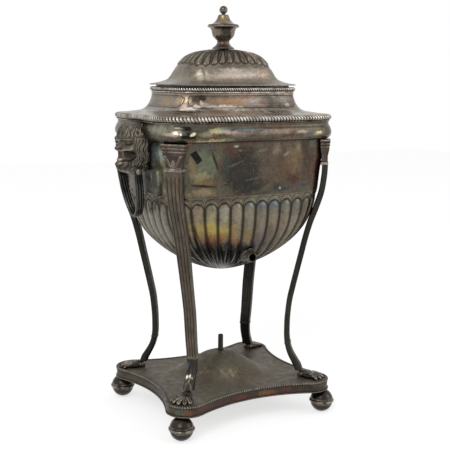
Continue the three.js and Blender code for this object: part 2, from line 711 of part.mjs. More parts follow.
function paw() {
  const toeTip = pawReach + PAW_L / 2 - TOE_R;
  const forms = [blob(point(pawReach, 0, pawFoot), PAW_L / 2, (PAW_W / 2) * INSTEP_WIDTH_SHARE, PAW_H)];
  for (let i = 0; i < TOES; i++) {
    const spread = (i / (TOES - 1)) * 2 - 1;
    const side = spread * (PAW_W / 2 - TOE_R);
    forms.push(blob(point(toeTip - Math.abs(side) / 2, side, pawFoot + TOE_R / 2), TOE_R, TOE_R, TOE_R));
  }
  const heel = new THREE.BoxGeometry(LEG_T, LEG_W * LEG_SHARES[0].wide * HEEL_WIDTH_SHARE, PAW_H);
  forms.push(heel.translate(boltReach, 0, pawFoot + PAW_H / 2));
  const under = new THREE.BoxGeometry(2 * PAW_L, 2 * PAW_W, 2 * PAW_H);
  under.translate(pawReach, 0, pawFoot - PAW_H);
  const onBolt = (z) => point(boltReach, 0, z);
  const hole = rod(BOLT_R + FIT, onBolt(plinthTop - OVERRUN), onBolt(pawFoot + BOLT_BITE + FIT));
  return without(joined(forms), [under, hole]);
}

const plateUnder = beadFoot;

function bolt() {
  const head = plateUnder - FIT;
  const outline = [
    [0, head - BOLT_NUT_H], [BOLT_NUT_R, head - BOLT_NUT_H], [BOLT_NUT_R, head],
    [BOLT_R, head], [BOLT_R, pawFoot + BOLT_BITE], [0, pawFoot + BOLT_BITE],
  ];
  return turned(outline, SMALL_SIDES);
}

const boltSpot = (corner) => point(boltReach, 0, 0).applyAxisAngle(upward, cornerTurn(corner, pawAngle));

for (const corner of corners) {
  const legTurn = cornerTurn(corner, legAngle);
  const hand = corner.x * corner.y;
  addPiece(`leg_${corner.name}`, leg(hand), finishes.dark()).rotation.z = legTurn;
  addPiece(`capital_${corner.name}`, capital(legTurn), finishes.plate()).rotation.z = legTurn;
  addPiece(`paw_${corner.name}`, paw(), finishes.cast()).rotation.z = cornerTurn(corner, pawAngle);
  addPiece(`paw_bolt_${corner.name}`, bolt(), finishes.steel()).position.copy(boltSpot(corner));
}

// Plinth: its edge is four lobes joined by hollow sides, all of them arcs

const LOBE_STEPS = 6;
const SIDE_STEPS = 3;

// Points of the plinth's edge, moved inward by an inset
function plinthEdge(inset) {
  const hollow = (waist, across, along) => {
    const step = waist - across;
    return (step ** 2 + along ** 2 - LOBE_R ** 2) / (2 * (LOBE_R - step));
  };
  const sideR = hollow(waistX, lobeX, lobeY);
  const frontR = hollow(waistY, lobeY, lobeX);
  const sideTurn = Math.atan2(lobeY, waistX + sideR - lobeX);
  const frontTurn = Math.atan2(lobeX, waistY + frontR - lobeY);
  const quarter = [];
  const arc = (x, y, radius, from, to, steps, first) => {
    for (let i = first; i < steps; i++) {
      const turn = THREE.MathUtils.lerp(from, to, i / steps);
      quarter.push(new THREE.Vector2(x + radius * Math.cos(turn), y + radius * Math.sin(turn)));
    }
  };
  arc(waistX + sideR, 0, sideR + inset, Math.PI, Math.PI - sideTurn, SIDE_STEPS, 0);
  arc(lobeX, lobeY, LOBE_R - inset, -sideTurn, Math.PI / 2 + frontTurn, LOBE_STEPS, 0);
  arc(0, waistY + frontR, frontR + inset, frontTurn - Math.PI / 2, -Math.PI / 2, SIDE_STEPS, 0);
  const flipped = (list, x, y) => list.map((p) => new THREE.Vector2(p.x * x, p.y * y));
  const upper = [...quarter, new THREE.Vector2(0, waistY - inset), ...flipped(quarter, -1, 1).reverse()];
  return [...upper, ...flipped(upper.slice(1, -1), 1, -1).reverse()];
}

const level = (points, z) => points.map((p) => point(p.x, p.y, z));

// A frame around the plinth, from one inset to another
function plinthFrame(outer, inner, foot, height) {
  const rings = [[outer, foot], [outer, foot + height], [inner, foot + height], [inner, foot]];
  return loft(rings.map(([inset, z]) => level(plinthEdge(inset), z)), true);
}

addPiece("base_wire", plinthFrame(-WIRE_OUT, FASCIA_T, baseFoot, WIRE_H), finishes.cast());
addPiece("base_fascia", plinthFrame(0, FASCIA_T, fasciaFoot, FASCIA_H), finishes.copper());
addPiece("base_bead", plinthFrame(-BEAD_OUT, BEAD_IN, beadFoot, BEAD_H), finishes.cast());

const DOME_OUT_SHARES = [1, 0.86, 0.68, 0.5, 0.32, 0.14];
const DOME_UP_SHARES = [0.01, 0.1, 0.33, 0.62, 0.87, 1];

function basePlate() {
  const edge = plinthEdge(BEAD_IN + FIT);
  const angles = edge.map((p) => Math.atan2(p.y, p.x));
  const dome = DOME_OUT_SHARES.map((out, i) => {
    const height = plinthTop + DOME_RISE * DOME_UP_SHARES[i];
    return section(DOME_HALF_WIDTH * out, DOME_HALF_DEPTH * out, DOME_SQUARE, height);
  });
  const hole = section(PIN_SHANK_R + FIT, PIN_SHANK_R + FIT, ROUND, domeTop);
  const over = [...dome, hole].map((s) => ringOf(s, angles));
  const under = over.map((ring) => ring.map((p) => point(p.x, p.y, p.z - PLATE)));
  const rings = [level(edge, plinthTop), ...over, ...under.reverse(), level(edge, plateUnder)];
  const holes = corners.map((corner) => {
    const at = (z) => boltSpot(corner).setZ(z);
    return rod(BOLT_R + FIT, at(plateUnder - OVERRUN), at(plinthTop + OVERRUN));
  });
  return without(solid(loft(rings, true)), holes);
}

addPiece("base_plate", basePlate(), finishes.plinth());

function burnerPin() {
  const seat = domeTop + FIT;
  const foot = domeTop - PLATE - PIN_SHANK_BELOW;
  const shank = [[0, foot], [PIN_SHANK_R, foot], [PIN_SHANK_R, seat]];
  return turned([...shank, [PIN_R, seat], [PIN_R, seat + PIN_H], [0, seat + PIN_H]]);
}

const pinNut = nut(PIN_SHANK_R + FIT, PIN_NUT_R, domeTop - PLATE - FIT, PIN_NUT_H);
addPiece("burner_pin", burnerPin(), finishes.dark());
addPiece("burner_pin_nut", pinNut, finishes.steel());

// Ball feet

const FOOT_TURNS = [38, 66]; // degrees from the foot of the ball to the points of its outline

// Outline of one half of a ball foot, as radius and distance from the middle, from the flat to the seam
function footOutline() {
  const arc = FOOT_TURNS.map(THREE.MathUtils.degToRad)
    .map((turn) => [FOOT_R * Math.sin(turn), FOOT_R * Math.cos(turn)]);
  const seamR = FOOT_R + FOOT_SEAM_OUT;
  return [[FOOT_FLAT_R, FOOT_R], ...arc, [FOOT_R, FOOT_SEAM_H], [seamR, FOOT_SEAM_H / 2], [seamR, FIT / 2]];
}

function footHalves() {
  const below = footOutline().map(([r, far]) => [r, FOOT_R - far]);
  const above = footOutline().reverse().map(([r, far]) => [r, FOOT_R + far]);
  const boreR = POST_SPIGOT_R + FIT;
  const boreFoot = 2 * FOOT_R - POST_SPIGOT_DEPTH - FIT;
  return {
    lower: turned([[0, 0], ...below, [0, FOOT_R - FIT / 2]]),
    upper: turned([[0, FOOT_R + FIT / 2], ...above, [boreR, 2 * FOOT_R], [boreR, boreFoot], [0, boreFoot]]),
  };
}

function footPost() {
  const foot = 2 * FOOT_R - POST_SPIGOT_DEPTH;
  const top = plateUnder - FIT;
  const spigot = [[0, foot], [POST_SPIGOT_R, foot], [POST_SPIGOT_R, baseFoot]];
  return turned([...spigot, [POST_R, baseFoot], [POST_R, top], [0, top]], SMALL_SIDES);
}

for (const { name, x, y } of corners) {
  const halves = footHalves();
  const spot = point(x * (lobeX + FOOT_OUT), y * (lobeY + FOOT_OUT), 0);
  addPiece(`foot_lower_${name}`, halves.lower, finishes.dark()).position.copy(spot);
  addPiece(`foot_upper_${name}`, halves.upper, finishes.dark()).position.copy(spot);
  addPiece(`foot_post_${name}`, footPost(), finishes.steel()).position.copy(spot);
}

// Lion masks, made of swelling forms: each has a place and half sizes as shares of the mask
const MASK_FORM_SHARES = [
  { at: [0.05, 0, 0.5], half: [0.41, 1, 0.5] },
  { at: [0.22, 0, 0.46], half: [0.47, 0.67, 0.42] },
  { at: [0.58, 0, 0.69], half: [0.24, 0.48, 0.1] },
  { at: [0.66, 0, 0.39], half: [0.28, 0.37, 0.13] },
  { at: [0.84, 0, 0.48], half: [0.16, 0.17, 0.08] },
  { at: [0.58, 0.33, 0.41], half: [0.24, 0.26, 0.105] },
  { at: [0.64, 0, 0.13], half: [0.28, 0.3, 0.1] },
  { at: [0.34, 0, 0.11], half: [0.32, 0.52, 0.12] },
  { at: [0.28, 0.7, 0.78], half: [0.24, 0.28, 0.14] },
  { at: [0.37, 0.33, 0.87], half: [0.24, 0.26, 0.115] },
];

const maskFoot = bandTop - MASK_H;
const hang = (y) => point(hangReach, y, hangHeight);
const lugHalf = BAIL_SPAN / 2 - BAIL_STRAP_T - RUNNING;

function lionMask() {
  const forms = [];
  for (const { at, half } of MASK_FORM_SHARES) {
    for (const side of at[1] ? [-1, 1] : [1]) {
      const reach = bandHalfWidth + MASK_OUT * at[0];
      const centre = point(reach, (side * at[1] * MASK_W) / 2, maskFoot + MASK_H * at[2]);
      forms.push(blob(centre, MASK_OUT * half[0], (MASK_W / 2) * half[1], MASK_H * half[2]));
    }
  }
  forms.push(rod(LUG_R, hang(-lugHalf), hang(lugHalf)));
  const pinHole = rod(BAIL_PIN_R + FIT, hang(-MASK_W), hang(MASK_W));
  const above = new THREE.BoxGeometry(2 * hangReach, MASK_W, MASK_H);
  above.translate(hangReach, 0, shoulderRimFoot - FIT + MASK_H / 2);
  return without(joined(forms), [bandRoom(), pinHole, above]);
}

// Bail: a broad strap bent into a long tapering loop, with an eye at each end
const BAIL_CURVE_SHARES = { sidePower: 2, dropPower: 1.9 };
const BAIL_STEPS = 9; // facets of each arm

// One edge of the loop, from eye to eye, moved inward by an inset
function bailEdge(inset) {
  const half = BAIL_SPAN / 2 - inset;
  const drop = BAIL_DROP - inset;
  const { sidePower, dropPower } = BAIL_CURVE_SHARES;
  const edge = [];
  for (let i = -BAIL_STEPS; i <= BAIL_STEPS; i++) {
    const turn = ((i / BAIL_STEPS) * Math.PI) / 2;
    const down = Math.cos(turn) ** (2 / dropPower);
    const side = Math.abs(Math.sin(turn)) ** (2 / sidePower);
    edge.push(new THREE.Vector2(Math.sign(i) * half * side, -drop * (Math.abs(i) < BAIL_STEPS ? down : 0)));
  }
  return edge;
}

function bail() {
  const eyeMiddle = BAIL_SPAN / 2 - BAIL_STRAP_T / 2;
  const along = (y) => point(0, y, 0);
  const loop = new THREE.Shape([...bailEdge(0), ...bailEdge(BAIL_STRAP_T).reverse()]);
  const strap = new THREE.ExtrudeGeometry(loop, { depth: BAIL_STRAP_W, bevelEnabled: false });
  strap.translate(0, 0, -BAIL_STRAP_W / 2).rotateY(Math.PI / 2).rotateX(Math.PI / 2);
  const eyes = [-eyeMiddle, eyeMiddle].map((y) =>
    rod(BAIL_STRAP_W / 2, along(y - BAIL_STRAP_T / 2), along(y + BAIL_STRAP_T / 2), ROUND_SIDES));
  const hole = rod(BAIL_PIN_R + RUNNING, along(-BAIL_SPAN), along(BAIL_SPAN), ROUND_SIDES);
  return without(joined([strap, ...eyes]), [hole]).rotateY(BAIL_LEAN).translate(hangReach, 0, hangHeight);
}

function bailPin() {
  const inner = BAIL_SPAN / 2 + FIT;
  const end = inner + BAIL_KNOB_L;
  const bulge = (inner + end) / 2;
  const collar = [[BAIL_PIN_R, inner], [BAIL_PIN_R + RUNNING, inner]];
  const knob = [...collar, [BAIL_KNOB_R, bulge], [BAIL_PIN_R, end], [0, end]];
  const farKnob = knob.map(([r, y]) => [r, -y]).reverse();
  return turned([...farKnob, ...knob], SMALL_SIDES).rotateX(Math.PI / 2).translate(hangReach, 0, hangHeight);
}

for (const [side, turn] of [["right", 0], ["left", Math.PI]]) {
  addPiece(`lion_mask_${side}`, lionMask(), finishes.cast()).rotation.z = turn;
  addPiece(`bail_${side}`, bail(), finishes.dark()).rotation.z = turn;
  addPiece(`bail_pin_${side}`, bailPin(), finishes.cast()).rotation.z = turn;
}

export default urn;
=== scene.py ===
import math

import bmesh
import bpy
import numpy as np
from mathutils import Matrix, Vector


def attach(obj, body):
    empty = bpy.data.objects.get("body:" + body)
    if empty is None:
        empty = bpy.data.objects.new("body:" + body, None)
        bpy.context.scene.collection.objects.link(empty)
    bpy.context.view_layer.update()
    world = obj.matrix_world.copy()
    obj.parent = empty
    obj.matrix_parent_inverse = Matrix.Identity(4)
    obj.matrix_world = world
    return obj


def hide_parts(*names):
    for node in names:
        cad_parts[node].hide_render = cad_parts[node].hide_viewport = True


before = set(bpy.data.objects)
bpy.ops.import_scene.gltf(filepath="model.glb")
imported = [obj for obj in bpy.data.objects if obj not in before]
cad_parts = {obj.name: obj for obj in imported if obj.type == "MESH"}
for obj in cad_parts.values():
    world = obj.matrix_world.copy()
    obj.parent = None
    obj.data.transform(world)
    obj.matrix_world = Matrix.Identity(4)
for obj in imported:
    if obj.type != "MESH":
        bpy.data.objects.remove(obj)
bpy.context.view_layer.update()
MM = 0.001
TAU = 2 * math.pi

# Sizes in millimetres. A section is its half width, its half depth and how square it is.

FIT = 0.3
PLATE = 1.8
RIM = (118.3, 88.5, 6.0)
BAND = (110.4, 83.0, 6.0)
BOWL = (105.5, 82.0, 5.2)
NECK = (81.5, 52.5, 5.0)
NECK_RIM = (NECK[0] + 2, NECK[1] + 2, NECK[2])

FOOT_R = 14.6
FOOT_X = 99.5
FOOT_Y = 85.0
LOBE_X = 87.8
LOBE_Y = 73.3
LOBE_R = 23.4
WAIST_X = 95.5
WAIST_Y = 77.5
WIRE_H = 1.6
FASCIA_H = 8.4
DOME_RISE = 29.5
PAW_H = 9
LEG_H = 260.2
CAPITAL_H = 31.0
MOULDING_H = 21.5
MOULDING_REACH = 7.3
BAND_H = 61.5
BOWL_H = 103.3
SOCKET_RISE = 27.5
SHOULDER_RIM_H = 8.0
SHOULDER_RIM_T = 7.2
NECK_H = 26.5
NECK_RIM_H = 6.5
NECK_RIM_T = 6.0
LID_GAP = 2.2
LID_EDGE_T = 1.4
LID_RISE = 41.4
BEZEL_H = 13
LEDGE_T = 2.4
SOCLE_H = 7.4
URN_H = 19.6
COVER_H = 13
HANG_REACH = 125.5
HANG_DROP = 34.5
BAIL_HALF = 26.0
BAIL_DROP = 57.5
BAIL_W = 10.0
BAIL_T = 4.6
LEG_ANGLE = math.radians(35.4)
PAW_ANGLE = math.radians(38.6)
CORNERS = {"front_left": (-1, -1), "front_right": (1, -1), "back_left": (-1, 1), "back_right": (1, 1)}

# Heights of the pieces, stacked from the ground up with a fitting gap between each two.

base_foot = 2 * FOOT_R + FIT
fascia_foot = base_foot + WIRE_H + FIT
bead_foot = fascia_foot + FASCIA_H + FIT
plinth_top = bead_foot + PLATE
dome_top = plinth_top + DOME_RISE
paw_foot = plinth_top + FIT
leg_foot = paw_foot + PAW_H + FIT
capital_foot = leg_foot + LEG_H + FIT
moulding_foot = capital_foot + CAPITAL_H + FIT
band_top = moulding_foot + MOULDING_H
band_foot = moulding_foot - BAND_H
bowl_top = band_foot - FIT
bowl_foot = bowl_top - BOWL_H
shoulder_foot = band_top + FIT
neck_foot = shoulder_foot + SHOULDER_RIM_H - PLATE
neck_top = neck_foot + NECK_H
neck_rim_foot = neck_top + FIT
lid_foot = neck_rim_foot + NECK_RIM_H + LID_GAP
lid_edge_top = lid_foot + LID_EDGE_T
lid_top = lid_edge_top + LID_RISE
bezel_foot = lid_foot - BEZEL_H
socle_foot = lid_top + FIT
urn_foot = socle_foot + SOCLE_H + FIT
cover_foot = urn_foot + URN_H + FIT
ball_foot = cover_foot + COVER_H + FIT
socket_height = bowl_foot + SOCKET_RISE
HANG = (HANG_REACH, 0, moulding_foot - HANG_DROP)

# Curves and grids.


def spline(points, per):
    """Points along a centripetal curve through the given points, per steps between each two."""
    p = np.asarray(points, float)
    ext = np.vstack([2 * p[0] - p[1], p, 2 * p[-1] - p[-2]])
    out = []
    for i in range(1, len(ext) - 2):
        p0, p1, p2, p3 = ext[i - 1:i + 3]
        knots = [0.0]
        for a, b in ((p0, p1), (p1, p2), (p2, p3)):
            knots.append(knots[-1] + max(np.linalg.norm(b - a), 1e-6) ** 0.5)
        t0, t1, t2, t3 = knots
        for t in np.linspace(t1, t2, per, endpoint=False):
            a1 = (t1 - t) / (t1 - t0) * p0 + (t - t0) / (t1 - t0) * p1
            a2 = (t2 - t) / (t2 - t1) * p1 + (t - t1) / (t2 - t1) * p2
            a3 = (t3 - t) / (t3 - t2) * p2 + (t - t2) / (t3 - t2) * p3
            b1 = (t2 - t) / (t2 - t0) * a1 + (t - t0) / (t2 - t0) * a2
            b2 = (t3 - t) / (t3 - t1) * a2 + (t - t1) / (t3 - t1) * a3
            out.append((t2 - t) / (t2 - t1) * b1 + (t - t1) / (t2 - t1) * b2)
    out.append(p[-1])
    return np.array(out)


def curve(points, per=6):
    return [tuple(p) for p in spline(points, per)]


def smoothstep(x, low, high):
    t = np.clip((x - low) / (high - low), 0, 1)
    return t * t * (3 - 2 * t)


def ridge(x, middle, width):
    """A soft ridge of height 1."""
    return np.exp(-((x - middle) / width) ** 2)


def reach(half_x, half_y, square, angle):
    across = np.abs(np.cos(angle)) / half_x
    along = np.abs(np.sin(angle)) / half_y
    return (across ** square + along ** square) ** (-1.0 / square)


def even_angles(section, count):
    """Angles that divide the edge of a section into equal lengths."""
    fine = np.linspace(0, TAU, 12001)
    r = reach(*section, fine)
    x, y = r * np.cos(fine), r * np.sin(fine)
    run = np.concatenate([[0], np.cumsum(np.hypot(np.diff(x), np.diff(y)))])
    return np.interp(np.arange(count) / count * run[-1], run, fine)


def rings(chain, angles):
    """Grid of points of a chain of sections (half x, half y, square, z)."""
    out = []
    for half_x, half_y, square, z in chain:
        r = reach(half_x, half_y, square, angles)
        out.append(np.stack([r * np.cos(angles), r * np.sin(angles), np.full(len(angles), z)], 1))
    return np.array(out)


def grown(section, out, z):
    return (section[0] + out, section[1] + out, section[2], z)


def outward_of(angles):
    """Unit directions away from the axis."""
    return np.stack([np.cos(angles), np.sin(angles), np.zeros(len(angles))], 1)


def across_path(path):
    """Unit directions across a path in a plane."""
    along = np.gradient(path, axis=0)
    along /= np.linalg.norm(along, axis=1, keepdims=True)
    return np.stack([along[:, 1], -along[:, 0]], 1)


def grid_normals(grid):
    """Unit normals of a grid whose columns close."""
    du = np.roll(grid, -1, 1) - np.roll(grid, 1, 1)
    n = np.cross(du, np.gradient(grid, axis=0))
    return n / np.maximum(np.linalg.norm(n, axis=2, keepdims=True), 1e-9)


def outward(grid):
    """1 if the normals of a grid face away from its middle line, else -1."""
    middle = grid.mean(axis=1, keepdims=True)
    return np.sign((grid_normals(grid) * (grid - middle)).sum()) or 1.0


def grid_faces(rows, cols, wrap_rows=False):
    r = np.arange(rows if wrap_rows else rows - 1)[:, None]
    c = np.arange(cols)[None, :]
    r2, c2 = (r + 1) % rows, (c + 1) % cols
    quads = [r * cols + c, r * cols + c2, r2 * cols + c2, r2 * cols + c]
    return np.stack(np.broadcast_arrays(*quads), -1).reshape(-1, 4)


def volume_of(points, faces):
    total = 0.0
    for face in (faces[:, [0, 1, 2]], faces[:, [0, 2, 3]]):
        a, b, c = points[face[:, 0]], points[face[:, 1]], points[face[:, 2]]
        total += np.einsum("ij,ij->i", a, np.cross(b, c)).sum()
    return total


def piece(node, look, parts, paint, sharp=40, marks=None, body="urn", name=None):
    """A mesh object in place of a CAD node, from one or more (points, quads) in millimetres. marks are
    values per point, by name, and sharp is the least angle of a hard edge, in degrees."""
    name = name or f"{node}_{look}"
    points, quads, base = [], [], 0
    for p, f in parts:
        f = np.asarray(f)
        if volume_of(p - p.mean(0), f) < 0:
            f = f[:, ::-1]
        points.append(p)
        quads.append(f + base)
        base += len(p)
    points, quads = np.vstack(points), np.vstack(quads)
    faces = [list(dict.fromkeys(q)) for q in quads.tolist()]
    mesh = bpy.data.meshes.new(name)
    mesh.from_pydata((points * MM).tolist(), [], [f for f in faces if len(f) > 2])
    mesh.polygons.foreach_set("use_smooth", [True] * len(mesh.polygons))
    mesh.set_sharp_from_angle(angle=math.radians(sharp))
    for key, values in (marks or {}).items():
        layer = mesh.attributes.new(key, "FLOAT", "POINT")
        layer.data.foreach_set("value", np.asarray(values, np.float32).ravel())
    mesh.materials.append(paint)
    obj = bpy.data.objects.new(name, mesh)
    bpy.context.scene.collection.objects.link(obj)
    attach(obj, body)
    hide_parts(node)


def closed_grid(grid):
    """A grid closed both ways: a frame or a shell."""
    rows, cols = grid.shape[:2]
    return grid.reshape(-1, 3), grid_faces(rows, cols, True)


def capped_grid(grid):
    """A grid with closing columns, its first and last rings drawn to their middles."""
    first = np.repeat(grid[0].mean(0)[None, None], grid.shape[1], 1)
    last = np.repeat(grid[-1].mean(0)[None, None], grid.shape[1], 1)
    full = np.concatenate([first, grid, last])
    rows, cols = full.shape[:2]
    quads = grid_faces(rows, cols)
    end = (rows - 1) * cols
    quads = np.where(quads < cols, 0, quads)
    quads = np.where(quads >= end, end, quads)
    return full.reshape(-1, 3), quads


def turned(outline, sides=72, wrap=False):
    """Points turned round the Z axis from (radius, height) pairs; closed when the outline wraps."""
    o = np.asarray(outline, float)
    a = np.arange(sides) / sides * TAU
    r = o[:, None, 0]
    grid = np.stack([r * np.cos(a), r * np.sin(a), np.repeat(o[:, 1:2], sides, 1)], 2)
    return closed_grid(grid) if wrap else capped_grid(grid)


def moved(part, matrix):
    points, quads = part
    m = np.array(matrix)
    return points @ m[:3, :3].T + m[:3, 3], quads


def around_z(part, angle):
    return moved(part, Matrix.Rotation(angle, 4, "Z"))


def laid(part, at=(0, 0, 0)):
    """A part turned round the Z axis, laid along the Y axis at a place."""
    return moved(part, Matrix.Translation(at) @ Matrix.Rotation(math.pi / 2, 4, "X"))


def padded(crease, crest, before=1, after=1, beside=0):
    """Marks of a grid whose first and last rows and last columns are plain."""
    room = ((before, after), (0, beside))
    return {"crease": np.pad(crease, room), "crest": np.pad(crest, room)}


def joined(marks, count, **rest):
    """Marks of a grid, followed by those of count more points with one value each."""
    return {key: np.append(values, np.full(count, rest[key])) for key, values in marks.items()}


# Paint.


def rgb(red, green, blue):
    """A colour as seen, 0 to 255, as the shader takes it."""
    shares = (red / 255, green / 255, blue / 255)
    return tuple(((c + 0.055) / 1.055) ** 2.4 if c > 10 / 255 else c / 12.92 for c in shares)


class Paint:
    """A node material for worn plated metal, painted in the object's own space."""

    def __init__(self, name, metallic, roughness):
        self.material = bpy.data.materials.new(name)
        self.material.use_nodes = True
        self.tree = self.material.node_tree
        self.shader = self.tree.nodes["Principled BSDF"]
        self.shader.inputs["Metallic"].default_value = metallic
        self.shader.inputs["Roughness"].default_value = roughness
        self.space = self.tree.nodes.new("ShaderNodeTexCoord").outputs["Object"]
        self.ragged = None

    def plug(self, socket, value):
        if isinstance(value, bpy.types.NodeSocket):
            self.tree.links.new(value, socket)
        elif isinstance(value, tuple) and len(value) == 3 and socket.type == "RGBA":
            socket.default_value = (*value, 1)
        else:
            socket.default_value = value

    def node(self, kind, plugs, **settings):
        """A new node with these settings, its inputs linked or set by name or number."""
        made = self.tree.nodes.new(kind)
        for key, value in settings.items():
            setattr(made, key, value)
        for socket, value in plugs.items():
            self.plug(made.inputs[socket], value)
        return made

    def vector(self, operation, a, b=(0, 0, 0), output="Vector"):
        return self.node("ShaderNodeVectorMath", {0: a, 1: b}, operation=operation).outputs[output]

    def math(self, operation, a, b):
        return self.node("ShaderNodeMath", {0: a, 1: b}, operation=operation).outputs[0]

    def noise(self, scale, detail=4.0, rough=0.55, warp=0.0, stretch=None, shift=None):
        vector = self.space
        if stretch:
            vector = self.node("ShaderNodeMapping", {"Vector": vector, "Scale": stretch}).outputs[0]
        if shift:
            vector = self.vector("ADD", vector, shift)
        plugs = {"Vector": vector, "Scale": scale, "Detail": detail, "Roughness": rough, "Distortion": warp}
        return self.node("ShaderNodeTexNoise", plugs).outputs["Fac"]

    def span(self, value, low, high, to_low=0.0, to_high=1.0, smooth=True):
        plugs = {"Value": value, "From Min": low, "From Max": high, "To Min": to_low, "To Max": to_high}
        kind = "SMOOTHSTEP" if smooth else "LINEAR"
        return self.node("ShaderNodeMapRange", plugs, interpolation_type=kind).outputs["Result"]

    def ramp(self, value, tones):
        made = self.node("ShaderNodeValToRGB", {"Fac": value})
        elements = made.color_ramp.elements
        while len(elements) < len(tones):
            elements.new(0.5)
        for k, (element, tone) in enumerate(zip(elements, tones)):
            element.position = k / (len(tones) - 1)
            element.color = (*rgb(*tone), 1)
        return made.outputs["Color"]

    def mix(self, share, a, b, blend="MIX"):
        plugs = {"Factor": share, 6: a, 7: b}
        return self.node("ShaderNodeMix", plugs, data_type="RGBA", blend_type=blend).outputs[2]

    def mark(self, name):
        settings = {"attribute_type": "GEOMETRY", "attribute_name": name}
        return self.node("ShaderNodeAttribute", {}, **settings).outputs["Fac"]

    def near(self, centre, size, share, soft=0.8, tilt=0, square=False):
        """The share at a place in millimetres, falling to 0 round its half sizes, with a ragged edge.
        tilt turns a place on the front or back, in degrees."""
        vector = self.vector("SUBTRACT", self.space, [c * MM for c in centre])
        if tilt:
            plugs = {"Vector": vector, "Angle": -math.radians(tilt)}
            vector = self.node("ShaderNodeVectorRotate", plugs, rotation_type="Y_AXIS").outputs[0]
        vector = self.vector("DIVIDE", vector, [s * MM for s in size])
        if square:
            parts = self.node("ShaderNodeSeparateXYZ", {0: self.vector("ABSOLUTE", vector)}).outputs
            far = self.math("MAXIMUM", self.math("MAXIMUM", parts[0], parts[1]), parts[2])
        else:
            far = self.vector("LENGTH", vector, output="Value")
        if self.ragged is None:
            self.ragged = self.span(self.noise(110, 6.0, 0.66, 0.5), 0.3, 0.7, -0.5, 0.5, smooth=False)
        far = self.math("ADD", far, self.math("MULTIPLY", self.ragged, min(1.0, soft * 1.6)))
        return self.span(far, 1 - soft, 1 + soft * 0.3, share, 0.0)

    def bump(self, *layers):
        """Layers of (height socket, depth in millimetres), added to the shader's normal."""
        plugs = {"Strength": 1.0}
        for height, depth in layers:
            plugs.update({"Distance": depth * MM, "Height": height})
            plugs["Normal"] = self.node("ShaderNodeBump", plugs).outputs["Normal"]
        self.plug(self.shader.inputs["Normal"], plugs["Normal"])


def painted(name, tones, metallic, low, high, grain=60.0, stains_and_light=(), flow=None, bump=0.12, crease=None,
            crest=None, sparks=0.0):
    """Cloudy tarnish in some tones, with stained places and painted reflections, highlights and shade, a fine
    mottle, specks, dirt and painted shade in the creases, and pale rubbed places with painted highlights on
    the crests. low and high are the roughness of bright and dull places."""
    p = Paint(name, metallic, (low + high) / 2)
    tone = p.ramp(p.span(p.noise(grain * 0.35, 6.0, 0.62, 0.8, flow), 0.32, 0.68, smooth=False), tones)
    # Stained places, some of them painted reflections, painted highlights and painted shade.
    for centre, size, tint, share, *edge in stains_and_light:
        tone = p.mix(p.near(centre, size, share, *edge), tone, rgb(*tint))
    mottle = p.span(p.noise(grain * 4.2, 6.0, 0.7, 0.3, flow), 0.3, 0.7, 0.72, 1.24, smooth=False)
    tone = p.mix(1.0, tone, mottle, "MULTIPLY")
    specks = p.span(p.noise(grain * 14, 3.0, 0.6), 0.62, 0.75, 0.0, 0.45)
    tone = p.mix(specks, tone, rgb(34, 29, 25))
    if sparks:
        spark = p.span(p.noise(grain * 11, 2.0, 0.5, 0.0, None, (3, 5, 7)), 0.69, 0.76, 0.0, sparks)
        tone = p.mix(spark, tone, rgb(196, 186, 172))
    # Creases darkened: dirt and painted shade.
    if crease:
        tone = p.mix(p.math("MULTIPLY", p.mark("crease"), crease[1]), tone, rgb(*crease[0]))
    # Crests lightened: rubbed wear broken up by noise, and painted highlights.
    if crest:
        rub = p.math("MULTIPLY", p.mark("crest"), p.span(p.noise(grain * 1.3, 4.0, 0.6), 0.3, 0.62))
        tone = p.mix(p.math("MULTIPLY", rub, crest[1]), tone, rgb(*crest[0]))
    gloss = p.span(p.noise(grain * 1.7, 5.0, 0.65), 0.3, 0.7, low, high)
    p.bump((p.noise(grain * 0.8, 3.0, 0.5), bump), (p.noise(grain * 9, 4.0, 0.65), bump * 0.25))
    p.plug(p.shader.inputs["Base Color"], tone)
    p.plug(p.shader.inputs["Roughness"], gloss)
    return p.material


# The body's walls.


def bowl_section(level):
    width = (1 - (1 - level) ** 2.5) ** (1 / 1.52)
    depth = (1 - (1 - level) ** 3.5) ** (1 / 1.45)
    return (BOWL[0] * width, BOWL[1] * depth, 2 + 3.2 * level ** 1.4, bowl_foot + BOWL_H * level)


MOULDING_OUT = (0, 0.12, 0.6, 0.9, 1, 0.86, 0.6, 0.63)
MOULDING_UP = (-0.1, 0, 0.06, 0.2, 0.42, 0.65, 0.85, 1)
band_foot_section = (*BOWL, band_foot)
band_middle = tuple((a + b) / 2 for a, b in zip(band_foot_section, (*BAND, moulding_foot)))
moulding = [grown(BAND, MOULDING_REACH * out, moulding_foot + MOULDING_H * up)
            for out, up in zip(MOULDING_OUT, MOULDING_UP)]
band_rows = curve([band_foot_section, band_middle, moulding[0]], 14) + curve(moulding[1:], 12)
band_levels = np.array([row[3] for row in band_rows])


def band_reach(points):
    """Reach of the band's outer face from the axis, at each point's height and angle."""
    z = np.clip(points[:, 2], band_levels[0], band_levels[-1])
    half_x, half_y, square = (np.interp(z, band_levels, [row[k] for row in band_rows]) for k in range(3))
    angle = np.arctan2(points[:, 1], points[:, 0])
    return reach(half_x, half_y, square, angle)


def against_band(points, sunk=0.9):
    """Moves points that lie too deep in the body's wall out to just under its face."""
    r = np.hypot(points[:, 0], points[:, 1])
    least = band_reach(points) - sunk
    scale = np.maximum(least / np.maximum(r, 1e-6), 1)
    out = points.copy()
    out[:, :2] *= scale[:, None]
    return out


